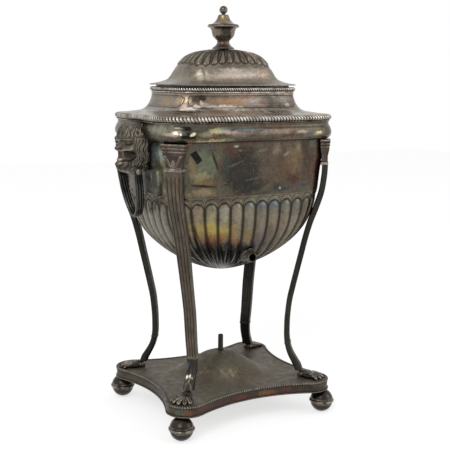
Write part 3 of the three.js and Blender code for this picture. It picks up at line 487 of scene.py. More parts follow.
def lobed(grid, half_count, to_end, rim, depth, fade_at, taper=1.0, bold=0.0):
    """Raises convex lobes with round ends, each inside a thin arched outline. to_end is the distance from
    the outline's end, by row or by point, and rim the widths of the outline at the sides and at the end.
    Returns the new grid with its marks: dirt and painted shade in the creases, wear and painted highlights on
    the crests."""
    cols = grid.shape[1]
    fine = 2 * half_count
    pitch = np.linalg.norm(np.roll(grid, -half_count, 1) - np.roll(grid, half_count, 1), axis=2)
    phase = (np.arange(cols) % fine) / fine - 0.5
    across = np.abs(phase)[None, :] * pitch
    far = to_end if to_end.ndim == 2 else to_end[:, None]
    narrow = 1 - (1 - taper) * smoothstep(far, 3, 0.7 * to_end.max())

    def inside(half, lead):
        left = half - (far - lead)
        return half - np.where(left > 0, np.hypot(across, left), across)

    outer_half = np.maximum(pitch / 2 * narrow - 0.15, 0.05)
    inner_half = np.maximum(pitch / 2 * narrow - rim[0], 0.05)
    outer, inner = inside(outer_half, 0.0), inside(inner_half, rim[1])
    fade = smoothstep(pitch, *fade_at)
    rise = np.clip(inner / inner_half, 0, 1)
    flat = np.where(outer > 0, -0.72 * depth, -0.72 * depth * (1 - 0.8 * smoothstep(-outer, 0.5, 4)))
    relief = np.where(inner > 0, -depth * (1 - rise) ** 2.2, flat)
    crescent = smoothstep(outer, 0.2, 0.9) * smoothstep(-inner, 0.2, 0.9)
    relief += 0.12 * depth * crescent
    relief -= 0.4 * ridge(inner, 0, 0.5) + 0.35 * ridge(outer, 0, 0.4)
    # The outlines are darkened as dirt and painted shade, wider near the arches' tops by bold; the lobes'
    # middles, the crescents and a line above each arch get painted highlights.
    width = 0.75 + bold * (1 - smoothstep(far, rim[1] + 3, rim[1] + 8))
    crease = np.clip(ridge(inner, 0, width) + 0.85 * ridge(outer, 0, 0.6), 0, 1) * fade
    arch = ridge(outer, -1.1, 0.45) * (far < 8)
    crest = np.clip(0.35 * crescent + 0.55 * rise ** 1.5 + 0.8 * arch, 0, 1) * fade
    return grid + grid_normals(grid) * (relief * fade)[..., None], crease, crest


def build_bowl(paint):
    angles = even_angles(BOWL, 640)
    low = np.linspace(0.004 ** (1 / 1.7), 0.85 ** (1 / 1.7), 90) ** 1.7
    levels = np.concatenate([low, np.linspace(0.85, 1, 28)[1:]])
    chain = [bowl_section(level) for level in levels]
    if outward(rings(chain, angles)) < 0:
        angles = angles[::-1]
    grid = rings(chain, angles)
    arch_top = bowl_top - 2.2
    shell, crease, crest = lobed(grid, 8, arch_top - grid[:, 0, 2], (1.25, 5.4), 1.9, (1.2, 6.0), 1.0, 0.6)
    inside = [bowl_section(level) for level in np.linspace(1, 0.05, 30) ** 1.3]
    wall = rings([(a - 3.3, b - 3.3, n, max(z, bowl_foot + 3.4)) for a, b, n, z in inside], angles)
    wall[0, :, 2] = bowl_top
    points, quads = capped_grid(np.concatenate([shell, wall]))
    middle = points[quads].mean(axis=1)
    hole = (np.hypot(middle[:, 0], middle[:, 2] - socket_height) < 6.7) & (middle[:, 1] < 0)
    marks = padded(crease, crest, 1, len(wall) + 1)
    piece("fluted_bowl", "wall", [(points, quads[~hole])], paint, 50, marks)


def build_band(paint):
    angles = even_angles(BAND, 400)
    inner = [grown(BAND, MOULDING_REACH * 0.6 - PLATE, band_top),
             grown(BAND, MOULDING_REACH * 0.5 - PLATE, moulding_foot + 10.7),
             grown(BAND, -PLATE, moulding_foot),
             (band_middle[0] - PLATE, band_middle[1] - PLATE, *band_middle[2:]),
             grown(BOWL, -PLATE, band_foot)]
    grid = rings(band_rows + inner, angles)
    count = len(band_rows)
    up = grid[:count, :, 2] - moulding_foot
    lines = ridge(up, 1.5, 0.5) + 0.8 * ridge(up, 3.6, 0.5) + 0.7 * ridge(up, -0.4, 0.5)
    grid[:count] -= 0.3 * outward_of(angles)[None] * lines[..., None]
    # The sunk lines are darkened as dirt and painted shade.
    marks = {"crease": np.pad(np.clip(lines, 0, 1), ((0, len(inner)), (0, 0)))}
    piece("body_band", "wall", [closed_grid(grid)], paint, 35, marks)


def build_rope_rim(node, section, foot, height, thick, fillet, beads, paint):
    fine = 10
    cols = beads * fine
    angles = even_angles(section, cols)
    slant = 1 if angles[1] > angles[0] else -1
    r = (height - fillet) / 2
    turns = np.linspace(-np.pi / 2, np.pi / 2, 15)
    lead = [(-thick, 0), (-2.4, 0), (-1.5, fillet * 0.15), (-1.3, fillet * 0.5), (-1.7, fillet * 0.9)]
    rope = [(-r + r * math.cos(t), fillet + r + r * math.sin(t)) for t in turns]
    tail = [(-thick * 0.8, height - 0.15), (-thick, height - 0.3)]
    outline = np.array(lead + rope + tail)
    grid = rings([grown(section, out, foot + up) for out, up in outline], angles)
    phase = np.arange(cols) / fine
    crease = np.zeros(grid.shape[:2])
    crest = np.zeros(grid.shape[:2])
    for i, t in enumerate(turns):
        d = np.abs((phase + 0.9 * slant * t / np.pi) % 1 - 0.5) * 2
        edge = math.cos(t) ** 0.3
        sink = 1.25 * d ** 2.4 * edge + 0.12 * (1 - edge)
        row = len(lead) + i
        away = outward_of(angles) * math.cos(t)
        away[:, 2] = math.sin(t)
        grid[row] -= away * sink[:, None]
        # The beads' upper halves get stronger painted highlights and darker painted shade in their grooves,
        # as if lit from above.
        upper = smoothstep(math.sin(t), -0.35, 0.35)
        crease[row] = np.clip(1.35 * d ** 2.6, 0, 1) * (0.7 + 0.3 * upper)
        crest[row] = np.clip(1.3 - d * 1.9, 0, 1) * edge * (0.35 + 0.65 * upper)
    # Painted shade in a line under the rope and a painted highlight on the lip below it.
    crease[len(lead) - 1] = 1
    crest[2:4] = 0.7
    marks = {"crease": crease, "crest": crest}
    piece(node, "gadroon", [closed_grid(grid)], paint, 60, marks)


NECK_OUT = (1, 0.85, 0.68, 0.5, 0.36, 0.23, 0.13, 0.05, 0.01, 0)
NECK_UP = (0.02, 0.075, 0.115, 0.155, 0.19, 0.275, 0.42, 0.63, 0.82, 1)


def build_neck(paint):
    angles = even_angles(NECK, 1000)
    foot = (RIM[0] - 4.4, RIM[1] - 4.4, RIM[2])
    chain = [(*(a + (b - a) * out for a, b in zip(NECK, foot)), neck_foot + NECK_H * up)
             for out, up in zip(NECK_OUT, NECK_UP)]
    rows = curve(chain, 8)
    grid = rings(rows, angles)
    x, y, z = grid[..., 0], grid[..., 1], grid[..., 2]
    front = np.abs(y) / NECK[1] >= np.abs(x) / NECK[0]
    along, half = np.where(front, np.abs(x), np.abs(y)), np.where(front, 72.0, 43.0)
    up = np.abs(z - 388.3)
    shape = np.maximum(np.maximum(along - half, up - 6.6), (along + up - (half + 6.6 - 3.5)) * 0.7)
    line = ridge(shape, 0, 0.7) + 0.5 * ridge(shape, -2.0, 0.4)
    grid = grid - grid_normals(grid) * outward(grid) * (0.3 * line)[..., None]
    under = [(*foot, neck_foot - PLATE)]
    inner = [(a - PLATE * 0.8, b - PLATE * 0.8, n, h - PLATE * 0.7) for a, b, n, h in rows[::-6]]
    inner[0] = (NECK[0] - PLATE, NECK[1] - PLATE, NECK[2], neck_top)
    full = np.concatenate([grid, rings(inner + under, angles)])
    # The engraved panel line is darkened as dirt and painted shade.
    marks = {"crease": np.pad(line, ((0, len(inner) + 1), (0, 0)))}
    piece("neck_shell", "wall", [closed_grid(full)], paint, 35, marks, name="neck_wall")


# Lid and finial.

LID_CROWN = (13.0, 13.0, 2.0)
LID_EDGE = NECK_RIM
LID_OUT = (0.03, 0.12, 0.29, 0.44, 0.52, 0.575, 0.61, 0.65, 0.69, 0.74, 0.86, 1)
LID_UP = (1, 0.98, 0.92, 0.81, 0.69, 0.57, 0.45, 0.33, 0.208, 0.123, 0.045, 0)


def lid_section(out, up):
    return (*(a + (b - a) * out for a, b in zip(LID_CROWN, LID_EDGE)), lid_edge_top + LID_RISE * up)


def build_lid(paint):
    cols = 30 * 24
    shares = spline(list(zip(LID_OUT, LID_UP)), 10)
    chain = [lid_section(out, up) for out, up in shares]
    angles = even_angles(lid_section(0.55, 0)[:3], cols)
    grid = rings(chain, angles)[::-1]
    run = np.concatenate([[0], np.cumsum(np.linalg.norm(np.diff(grid[:, 0], axis=0), axis=1))])
    outs = shares[::-1, 0]
    end = np.interp(-0.578, -outs, run)
    if outward(grid) < 0:
        angles, grid = angles[::-1], grid[:, ::-1]
    edge_x, edge_y = LID_EDGE[:2]
    corner = np.abs(np.sin(2 * np.arctan2(grid[0, :, 1] / edge_y, grid[0, :, 0] / edge_x))) ** 4
    to_end = run[:, None] - end + 3.6 * corner[None, :]
    shell, crease, crest = lobed(grid, 12, to_end, (0.95, 1.6), 1.5, (1.0, 3.2), 0.45)
    top = rings([(5, 5, 2, lid_top)], angles)
    inner = [lid_section(o, u) for o, u in shares[::-8] if 0.08 < o < 0.7]
    inner = [(a - 1.6, b - 1.6, n, z - 1.9) for a, b, n, z in inner]
    edge = [(*LID_EDGE, lid_foot), (edge_x - 8.5, edge_y - 8.5, 5, lid_foot)]
    inside = rings((edge + inner)[::-1], angles)
    part = capped_grid(np.concatenate([inside, shell, top]))
    marks = padded(crease, crest, len(inside) + 1, 2)
    piece("lid_dome", "shell", [part], paint, 50, marks, "lid", "lid_shell")


def build_strip(node, section, outer, inner, foot, top, soft, paint, body):
    """A flat ring with softened edges around a section, between two distances out from it."""
    outline = [(outer, foot + soft), (outer, top - soft), (outer - soft, top), (inner + soft, top),
               (inner, top - soft), (inner, foot + soft), (inner + soft, foot), (outer - soft, foot)]
    part = closed_grid(rings([grown(section, out, z) for out, z in outline], even_angles(section, 360)))
    piece(node, "strip", [part], paint, 35, None, body)


def lathe_piece(node, look, outline, paint, sides=72, at=(0, 0, 0), marks=None, body="urn"):
    part = turned(outline, sides)
    shown = marks and marks(np.hypot(part[0][:, 0], part[0][:, 1]), part[0][:, 2])
    piece(node, look, [moved(part, Matrix.Translation(at))], paint, 40, shown, body)


def raised(outline, z):
    return [(r, z + up) for r, up in outline]


def build_finial(paint, knob, gold):
    bore = 2.1
    socle = [(bore, 0), (13.2, 0), (13.4, 0.5), (13.2, 1.1)]
    socle += curve([(12.9, 1.4), (9.8, 3.6), (7.6, 6.4)]) + [(7.5, SOCLE_H), (bore, SOCLE_H)]
    lathe_piece("finial_socle", "turned", raised(socle, socle_foot), paint, body="lid")

    urn = [(bore, 0), (7.5, 0), (7.8, 0.5), (7.8, 1.0), (7.3, 1.4)]
    urn += curve([(7.6, 2), (10.4, 4.6), (12.9, 7.6), (13.9, 11), (14.4, 13.6), (15.9, 16.4), (18.6, 18)], 8)
    urn += [(19.3, 18.3), (19.5, 18.8), (19.4, 19.3), (18.9, URN_H), (bore, URN_H)]
    points, quads = turned(raised(urn, urn_foot), 192)
    r = np.hypot(points[:, 0], points[:, 1])
    dent = 0.18 * np.sin(3 * np.arctan2(points[:, 1], points[:, 0]) + 1) * smoothstep(r, 5, 12)
    points[:, :2] *= (1 - np.abs(dent) / np.maximum(r, 1))[:, None]
    piece("finial_urn", "turned", [(points, quads)], paint, body="lid")

    cover = [(bore, 0), (18.2, 0), (18.5, 0.5), (18.2, 1.1)]
    cover += curve([(17.2, 1.3), (14.2, 1.9), (11.6, 3.4), (9.4, 5.6), (7.6, 8.4)])
    cover += [(7.6, 8.9), (7.3, 9.4), (7.0, 9.6), (6.9, 10.4)]
    cover += curve([(6.8, 10.6), (6.5, 11.7), (5.6, 12.5), (4.4, 12.9)], 4) + [(bore, COVER_H)]
    lathe_piece("finial_cover", "turned", raised(cover, cover_foot), gold, body="lid")

    turns = np.linspace(math.radians(36), math.radians(178), 22)
    ball = [(2.4, 0.6), (2.9, 0.8)] + [(5 * math.sin(t), 5 - 5 * math.cos(t)) for t in turns]
    lathe_piece("finial_ball", "turned", raised(ball, ball_foot), knob, body="lid")


# Tap socket.


def build_socket(paint):
    root = -61.66
    end = -74.97
    lip = [(4.4, root + 2.2), (4.4, end + 0.35), (4.75, end), (6.0, end), (6.4, end + 0.4), (6.4, root - 0.2),
           (6.4, root + 2.2)]
    tube = laid(turned([(r, -y) for r, y in lip], 64, True), (0, 0, socket_height))
    a = np.arange(96) / 96 * TAU
    wave = 0.35 * np.sin(5 * a + 1) + 0.25 * np.sin(9 * a)
    rows = []
    for share in np.linspace(0, 1, 7):
        rag = 6.2 + 3.4 * share + wave * share
        x, z = rag * np.cos(a), socket_height + rag * np.sin(a)
        width, depth, square, _ = bowl_section((z - bowl_foot) / BOWL_H)
        y = -depth * (1 - np.abs(x / width) ** square) ** (1 / square)
        stand = 9.5 * (1 - share) ** 2.4 + 1.2 * (1 - share ** 3) - 0.35
        rows.append(np.stack([x, y - stand, z], 1))
    outer = np.array(rows)
    back = outer[::-1].copy()
    back[..., 1] = outer[..., 1].max() + 1.9
    ring = closed_grid(np.concatenate([outer, back]))
    # The inside of the bore is painted almost black, as painted shade.
    bore = np.hypot(tube[0][:, 0], tube[0][:, 2] - socket_height) < 4.7
    marks = joined({"crease": bore}, len(ring[0]), crease=0)
    piece("tap_socket", "turned", [tube, ring], paint, 40, marks)


# Legs, paws and capitals.

bowl_corner = float(reach(*BOWL, LEG_ANGLE))
LEG_NEAR = bowl_corner - 33.4
LEG_FAR = bowl_corner + 8.8
LEG_W = 22.0
LEG_T = 6.8
LEG_STATIONS = (  # share of the height, reach, width, thickness, turn to the paw
    (0, .39, .62, 1.35, 1), (.02, .345, .61, 1.3, 1), (.044, .26, .61, 1.2, 1), (.09, .11, .61, 1.08, .85),
    (.144, .02, .61, 1, .55), (.206, 0, .62, 1, .2), (.263, .01, .64, 1, .05), (.34, .058, .65, 1, 0),
    (.417, .155, .66, 1, 0), (.494, .262, .69, 1, 0), (.571, .371, .73, 1, 0), (.648, .478, .78, 1, 0),
    (.724, .608, .8, 1, 0), (.801, .778, .83, 1, 0), (.878, .922, .86, 1, 0), (.955, .988, .93, 1, 0),
    (1, 1, 1, 1, 0),
)
bolt_reach = LEG_NEAR + 0.39 * (LEG_FAR - LEG_NEAR)
paw_reach = bolt_reach + 10.6


def corner_turn(x, y, angle):
    return math.atan2(y * math.sin(angle), x * math.cos(angle))


def squarish(count, power=3.2):
    """Points of a closed cushion shape of unit half sizes, evenly spread."""
    a = even_angles((1, 1, power), count)
    r = reach(1, 1, power, a)
    return np.stack([r * np.cos(a), r * np.sin(a)], 1)


def build_leg(name, x, y, paint):
    hand = x * y
    fine = spline(LEG_STATIONS, 14)
    heights = leg_foot + LEG_H * fine[:, 0]
    reaches = LEG_NEAR + (LEG_FAR - LEG_NEAR) * fine[:, 1]
    path = np.stack([reaches, heights], 1)
    across = across_path(path)
    blend = smoothstep(np.minimum(fine[:, 0], 1 - fine[:, 0]), 0, 0.03)[:, None]
    across = across * blend + np.array([1.0, 0.0]) * (1 - blend)
    across /= np.linalg.norm(across, axis=1, keepdims=True)
    outline = squarish(192, 8.0)
    a, b = outline[:, 0], outline[:, 1]
    z = heights[:, None]
    half_out = (LEG_T / 2 * fine[:, 3])[:, None]
    half_side = (LEG_W / 2 * fine[:, 2])[:, None]
    strap = smoothstep(z, 84.5, 86.5)
    joint = ridge(z, 85.5, 1.1)
    sway = 0.05 * np.sin(z / 11 + 5 * b[None, :]) + 0.04 * np.sin(z / 23 + 2 + 9 * b[None, :])
    reeds = (0.62 * np.abs(np.sin(np.pi * (b[None, :] * 2.0 + 0.5))) ** 0.75
             + 0.38 * np.abs(np.sin(np.pi * (b[None, :] * 4.0 + sway))) ** 0.6)
    face = smoothstep(np.abs(a)[None, :], 0.72, 0.98) * (1 - smoothstep(np.abs(b)[None, :], 0.9, 1.0))
    ends = 1 - smoothstep(z, leg_foot + LEG_H - 7, leg_foot + LEG_H - 3)
    sink = 0.7 * strap * face * (1 - reeds) * ends
    hock = 1 - smoothstep(z, 60, 84)
    tendons = 0.7 * hock * face * (0.5 - 0.5 * np.cos(b[None, :] * 3 * np.pi + 0.4))
    soft = 1 - 0.16 * (1 - strap) * (np.abs(a * b)[None, :]) ** 3
    grown_out = half_out * soft * 1.06 + 0.55 * joint - sink - tendons * 0.6
    grown_side = half_side * soft * (1 - 0.08 * hock * smoothstep(z, 53, 60)) + 0.55 * joint
    off_a, off_b = a * grown_out, b * grown_side
    px = reaches[:, None] + across[:, 0:1] * off_a
    pz = z + across[:, 1:2] * off_a
    turn = hand * fine[:, 4] * (PAW_ANGLE - LEG_ANGLE)
    c, s = np.cos(turn)[:, None], np.sin(turn)[:, None]
    grid = np.stack([px * c - off_b * s, px * s + off_b * c, pz], 2)
    # Reed grooves and tendons are darkened as dirt and painted shade; reed tops and the joint get painted
    # highlights.
    crease = np.clip(strap * face * (1 - reeds) * 1.6 * ends + 0.7 * tendons, 0, 1)
    crest = np.clip(strap * face * reeds ** 4 * ends + joint, 0, 1)
    part = around_z(capped_grid(grid), corner_turn(x, y, LEG_ANGLE))
    piece(f"leg_{name}", "reeded", [part], paint, 60, padded(crease, crest))


def capital_profile():
    """Rows of side share, out share and height share: an astragal, a bell and three fillets."""
    rows = []
    for t in np.linspace(-np.pi / 2, np.pi / 2, 9):
        rows.append((0.7 + 0.06 * math.cos(t), 0.66 + 0.06 * math.cos(t), 0.06 + 0.06 * math.sin(t)))
    for u in np.linspace(0.14, 0.62, 44):
        flare = smoothstep(u, 0.3, 0.64) ** 1.3
        rows.append((0.64 + 0.2 * flare, 0.6 + 0.24 * flare, u))
    for base, low, high in ((0.86, 0.64, 0.74), (0.94, 0.765, 0.86), (1.0, 0.885, 1.0)):
        rows.append((base - 0.05, base - 0.05, low))
        for t in np.linspace(-np.pi / 2, np.pi / 2, 7):
            share = base - 0.03 + 0.03 * math.cos(t)
            rows.append((share, share, (low + high) / 2 + (high - low) / 2 * math.sin(t)))
        rows.append((base - 0.05, base - 0.05, min(high + 0.004, 1.0)))
    return np.array(rows)


def leaf_relief(u, v):
    """Height of palm leaves on a bell: u is -1 to 1 across, v is 0 to 1 up."""
    au = np.abs(u)
    blade = 0.42 * np.sqrt(np.clip(1 - (v / 0.66) ** 1.6, 0, 1))
    middle = smoothstep(blade - au, -0.02, 0.06)
    slants = [np.abs(np.sin((u * 3.4 + side * v * 4.4) * np.pi)) for side in (-1, 1)]
    veins = middle * (0.08 + 0.55 * np.maximum(*slants) ** 5)
    stem = ridge(u, 0, 0.05) * (v < 0.6)
    lean = 0.30 + 0.52 * v ** 0.9
    rib = ridge(au - lean, 0, 0.05)
    outer = ridge(au - lean, 0.17, 0.045) * (v > 0.1)
    tip = ridge(v, 0.93, 0.07) * ridge(au, 0.8, 0.16)
    return np.clip(np.maximum.reduce([0.85 * rib, 0.55 * outer, veins + 0.2 * stem, tip]), 0, 1)


def build_capital(name, x, y, paint):
    rows = capital_profile()
    outline = squarish(192, 16.0)
    a, b = outline[None, :, 0], outline[None, :, 1]
    half_side, half_out, up = 14.9 * rows[:, 0:1], 6.5 * rows[:, 1:2], rows[:, 2:3]
    bell = smoothstep(up, 0.15, 0.19) * (1 - smoothstep(up, 0.57, 0.62))
    face = smoothstep(a, 0.55, 0.95)
    v = np.clip((up - 0.16) / 0.44, 0, 1)
    relief = leaf_relief(b, v) * bell * face
    side = smoothstep(np.abs(b), 0.9, 1.0) * bell * np.abs(np.sin(np.pi * 2 * v)) * 0.3
    off_a = a * half_out + 0.75 * relief - 0.55 * bell * face
    off_b = b * (half_side - side)
    z = capital_foot + CAPITAL_H * up
    grid = np.stack([bowl_corner + 8 + off_a, off_b, np.broadcast_to(z, off_a.shape)], 2)
    points, quads = around_z(capped_grid(grid), corner_turn(x, y, LEG_ANGLE))
    # Painted highlights on the leaves, the fillets' tops and the astragal; dirt and painted shade on the
    # bell's ground between the leaves and in lines at the fillets' edges.
    crest = np.clip(relief * 1.6 - 0.4, 0, 1)
    for top in (0.735, 0.855, 0.985):
        crest = np.maximum(crest, ridge(up, top, 0.016))
    crest[:9] = 0.8
    crease = 0.55 * np.clip(bell * face * (1 - relief * 2), 0, 1)
    for base in (0.64, 0.75, 0.765, 0.87, 0.885):
        crease = np.maximum(crease, ridge(up, base, 0.006))
    piece(f"capital_{name}", "cast", [(against_band(points), quads)], paint,
          50, padded(crease, crest))


def fused(blobs, voxel, smooth, name):
    """One skin around overlapping ellipsoids: (centre, half sizes, turn about Z, tilt about Y)."""
    bm = bmesh.new()
    for centre, half, turn, tilt in blobs:
        m = (Matrix.Translation(centre) @ Matrix.Rotation(turn, 4, "Z") @ Matrix.Rotation(tilt, 4, "Y")
             @ Matrix.Diagonal((*half, 1)))
        bmesh.ops.create_icosphere(bm, subdivisions=4, radius=1, matrix=m)
    mesh = bpy.data.meshes.new(name)
    bm.to_mesh(mesh)
    bm.free()
    obj = bpy.data.objects.new(name, mesh)
    bpy.context.scene.collection.objects.link(obj)
    remesh = obj.modifiers.new("skin", "REMESH")
    remesh.mode = "VOXEL"
    remesh.voxel_size = voxel
    even = obj.modifiers.new("even", "SMOOTH")
    even.iterations = smooth
    even.factor = 0.5
    done = obj.evaluated_get(bpy.context.evaluated_depsgraph_get()).to_mesh()
    points = np.empty(len(done.vertices) * 3)
    done.vertices.foreach_get("co", points)
    quads = np.array([list(p.vertices) + [p.vertices[-1]] * (4 - len(p.vertices)) for p in done.polygons])
    bpy.data.objects.remove(obj)
    bpy.data.meshes.remove(mesh)
    return points.reshape(-1, 3), quads


TOES = [spread * 0.7 for spread in (-1, -0.5, 0, 0.5, 1)]
TOE_ROOT = -2.0


def paw_form():
    """A lion's paw pointing along X from its heel, in millimetres, its sole at height 0."""
    blobs = [((3.4, 0, 1.9), (11.5, 10.0, 4.8), 0, 0.16), ((-6.5, 0, 4.2), (5.2, 6.6, 4.9), 0, 0),
             ((-2.5, 0, 5.8), (4.8, 6.4, 3.0), 0, 0.35)]
    joints = ((0.6, 2.9, (5.6, 2.6, 2.9), 0.14), (0.83, 1.8, (3.7, 3.1, 2.3), 0.1),
              (0.99, 0.8, (1.9, 1.1, 0.9), 0.3))
    for angle in TOES:
        length = 22.6 - 5.0 * abs(angle) ** 1.6
        for share, height, half, tilt in joints:
            far = share * length
            centre = (TOE_ROOT + far * math.cos(angle), far * math.sin(angle), height)
            blobs.append((centre, half, angle, tilt))
    return fused(blobs, 0.36, 2, "paw_form")


def build_paw(name, x, y, form, paint):
    points, quads = form
    points = points.copy()
    points[:, 2] = np.clip(points[:, 2], 0, PAW_H)
    z = points[:, 2]
    far = np.hypot(points[:, 0] - TOE_ROOT, points[:, 1])
    bearing = np.arctan2(points[:, 1], points[:, 0] - TOE_ROOT)
    off = far * np.abs(np.sin(bearing[:, None] - np.array(TOES)[None, :])).min(axis=1)
    toes = smoothstep(far, 7, 10)
    part = around_z((points + np.array([paw_reach, 0, paw_foot]), quads), corner_turn(x, y, PAW_ANGLE))
    # Dirt and painted shade at the sole, where the paw meets the plinth, and between the toes; painted
    # highlights along the toes.
    marks = {"crease": np.clip(1 - smoothstep(z, 0, 0.9) + toes * smoothstep(off, 2.0, 3.0), 0, 1),
             "crest": toes * ridge(off, 1.3, 0.7) * smoothstep(z, 0.6, 1.4)}
    piece(f"paw_{name}", "cast", [part], paint, 180, marks)


# Plinth.


def plinth_ring(inset, params):
    """Points of the plinth's edge, moved inward by an inset, at places along the uninset edge."""
    def hollow(waist, across, along):
        step = waist - across
        return (step ** 2 + along ** 2 - LOBE_R ** 2) / (2 * (LOBE_R - step))
    side_r, front_r = hollow(WAIST_X, LOBE_X, LOBE_Y), hollow(WAIST_Y, LOBE_Y, LOBE_X)
    side_turn = math.atan2(LOBE_Y, WAIST_X + side_r - LOBE_X)
    front_turn = math.atan2(LOBE_X, WAIST_Y + front_r - LOBE_Y)
    arcs = [(WAIST_X + side_r, 0, side_r, 1, math.pi, math.pi - side_turn),
            (LOBE_X, LOBE_Y, LOBE_R, -1, -side_turn, math.pi / 2 + front_turn),
            (0, WAIST_Y + front_r, front_r, 1, front_turn - math.pi / 2, -math.pi / 2)]
    lengths = [abs(r * (b - a)) for _, _, r, _, a, b in arcs]
    quarter = sum(lengths)
    s = (params % 1.0) * 4
    quadrant = np.floor(s).astype(int)
    local = s - quadrant
    local = np.where(quadrant % 2 == 1, 1 - local, local) * quarter
    px, py = np.zeros(len(params)), np.zeros(len(params))
    start = 0.0
    for i, ((cx, cy, r, sign, a, b), length) in enumerate(zip(arcs, lengths)):
        inside = (local >= start) & ((local <= start + length) if i == 2 else (local < start + length))
        t = a + (b - a) * (local - start) / length
        radius = r + sign * inset
        px = np.where(inside, cx + radius * np.cos(t), px)
        py = np.where(inside, cy + radius * np.sin(t), py)
        start += length
    last = local > start
    px, py = np.where(last, 0, px), np.where(last, WAIST_Y - inset, py)
    px = np.where((quadrant == 1) | (quadrant == 2), -px, px)
    py = np.where(quadrant >= 2, -py, py)
    return np.stack([px, py], 1)


def plinth_frame(node, look, outline, paint):
    count = 900
    params = (np.arange(count) + 0.5) / count
    rows = [np.column_stack([plinth_ring(inset, params), np.full(count, z)]) for inset, z in outline]
    piece(node, look, [closed_grid(np.array(rows))], paint)


def build_plinth(wire_paint, fascia_paint, plate_paint):
    wire = [(-0.45 - 0.45 * math.cos(t), base_foot + 0.8 + 0.8 * math.sin(t))
            for t in np.linspace(-np.pi / 2, np.pi / 2, 9)]
    wire += [(1.8, base_foot + WIRE_H), (1.8, base_foot)]
    plinth_frame("base_wire", "round", wire, wire_paint)
    foot, top = fascia_foot, fascia_foot + FASCIA_H
    fascia = [(0.25, foot), (0.0, foot + 0.3), (0.0, foot + 0.9), (0.35, foot + 1.2), (0.5, foot + 4.2),
              (0.35, top - 1.2), (0.0, top - 0.9), (0.0, top - 0.3), (0.25, top), (1.8, top), (1.8, foot)]
    plinth_frame("base_fascia", "sheet", fascia, fascia_paint)

    beads, fine = 264, 8
    count = beads * fine
    params = np.arange(count) / count
    base = plinth_ring(0.0, params)
    into = plinth_ring(1.0, params) - base
    d = np.abs(np.arange(count) / fine % 1 - 0.5) * 2
    # The gaps between the beads and lines beside the row are darkened as dirt and painted shade, and the
    # beads' tops get painted highlights.
    rows, creases, crests = [], [], []
    for turn in np.linspace(-np.pi / 2, np.pi * 0.72, 13):
        sink = 0.5 * d ** 2.2 * smoothstep(turn, -1.2, -0.4)
        inset = 0.62 - (1.25 - sink) * math.cos(turn)
        z = bead_foot + 1.5 + (1.4 - sink) * math.sin(turn)
        rows.append(np.column_stack([base + into * inset[:, None], z]))
        creases.append(np.clip(d ** 4, 0, 1))
        crests.append(np.clip(1 - 1.5 * d, 0, 1))
    for inset, z in ((1.75, bead_foot + 1.9), (2.4, bead_foot + 1.95), (2.4, bead_foot), (1.0, bead_foot)):
        rows.append(np.column_stack([plinth_ring(inset, params), np.full(count, z)]))
        creases.append(np.full(count, 1.0 if inset < 2 else 0.0))
        crests.append(np.zeros(count))
    marks = {"crease": np.array(creases), "crest": np.array(crests)}
    piece("base_bead", "row", [closed_grid(np.array(rows))], wire_paint, 60, marks)

    count = 720
    params = (np.arange(count) + 0.5) / count
    edge = plinth_ring(2.7, params)
    angles = np.arctan2(edge[:, 1], edge[:, 0])
    profile = spline([(1, .01), (.86, .1), (.68, .33), (.5, .62), (.32, .87), (.14, 1), (0.04, 1)], 9)
    top = rings([(62 * o, 54 * o, 3.0, plinth_top + DOME_RISE * u) for o, u in profile], angles)
    top[-1] = rings([(2.3, 2.3, 2.0, dome_top)], angles)[0]
    rim = np.column_stack([edge, np.full(count, plinth_top)])
    span = [rim + (top[0] - rim) * k for k in np.linspace(0, 1, 16)[:-1]]
    for row in span:
        row[:, 2] = plinth_top + 0.3 * np.clip((row[:, 2] - plinth_top) / 0.3, 0, 1) ** 2
    over = np.concatenate([np.array(span), top])
    soft_rim = over[:1].copy()
    soft_rim[0, :, 2] -= 0.4
    under = over[::-4].copy()
    under[..., 2] -= PLATE
    foot = rim[None].copy()
    foot[..., 2] = bead_foot
    grid = np.concatenate([soft_rim, over, under, foot])
    # The plate is darkened towards its edge as dirt and painted shade where it meets the bead row.
    marks = {"crease": 1 - smoothstep(np.linalg.norm(grid[..., :2] - edge[None], axis=2), 0.3, 3.2)}
    piece("base_plate", "sheet", [closed_grid(grid)], plate_paint, 40, marks)


# Feet and small parts.


def build_feet(paint, steel):
    arc = [(14.3 * math.sin(t) ** 1.05, FOOT_R * math.cos(t)) for t in np.radians(np.linspace(20, 83, 18))]
    turnip = [(14.2 * math.sin(t) ** 0.98, FOOT_R * math.cos(t)) for t in np.radians(np.linspace(17, 83, 20))]
    flange = [(14.3, 1.75), (14.5, 1.55), (15.15, 1.2), (15.5, 0.7), (15.35, 0.15)]
    lower = [(r, max(FOOT_R - far, 0.0)) for r, far in [(0.5, FOOT_R), (3.2, FOOT_R - 0.1)] + turnip + flange]
    lower += [(2, FOOT_R - 0.15)]
    upper = [(2, FOOT_R + 0.15)] + [(r, FOOT_R + far) for r, far in (arc + flange)[::-1] if r > 4]
    upper += [(2.6, 2 * FOOT_R), (2.6, 22)]
    post = [(2.2, 22.3), (2.2, base_foot), (3.6, base_foot), (3.6, bead_foot - FIT)]
    for name, (x, y) in CORNERS.items():
        at = (x * FOOT_X, y * FOOT_Y, 0)
        for node, outline in ((f"foot_lower_{name}", lower), (f"foot_upper_{name}", upper)):
            lathe_piece(node, "ball", outline, paint, 64, at, foot_marks)
        lathe_piece(f"foot_post_{name}", "turned", post, steel, 32, at)


def foot_marks(r, z):
    far = np.abs(z - FOOT_R)
    # Painted highlights on the flange's edge and in a band either side of it; dirt and painted shade in lines
    # at the flange's root.
    return {"crest": np.clip(smoothstep(r, 14.7, 15.2) + 0.6 * ridge(far, 3.0, 0.7), 0, 1),
            "crease": ridge(far, 1.75, 0.45)}


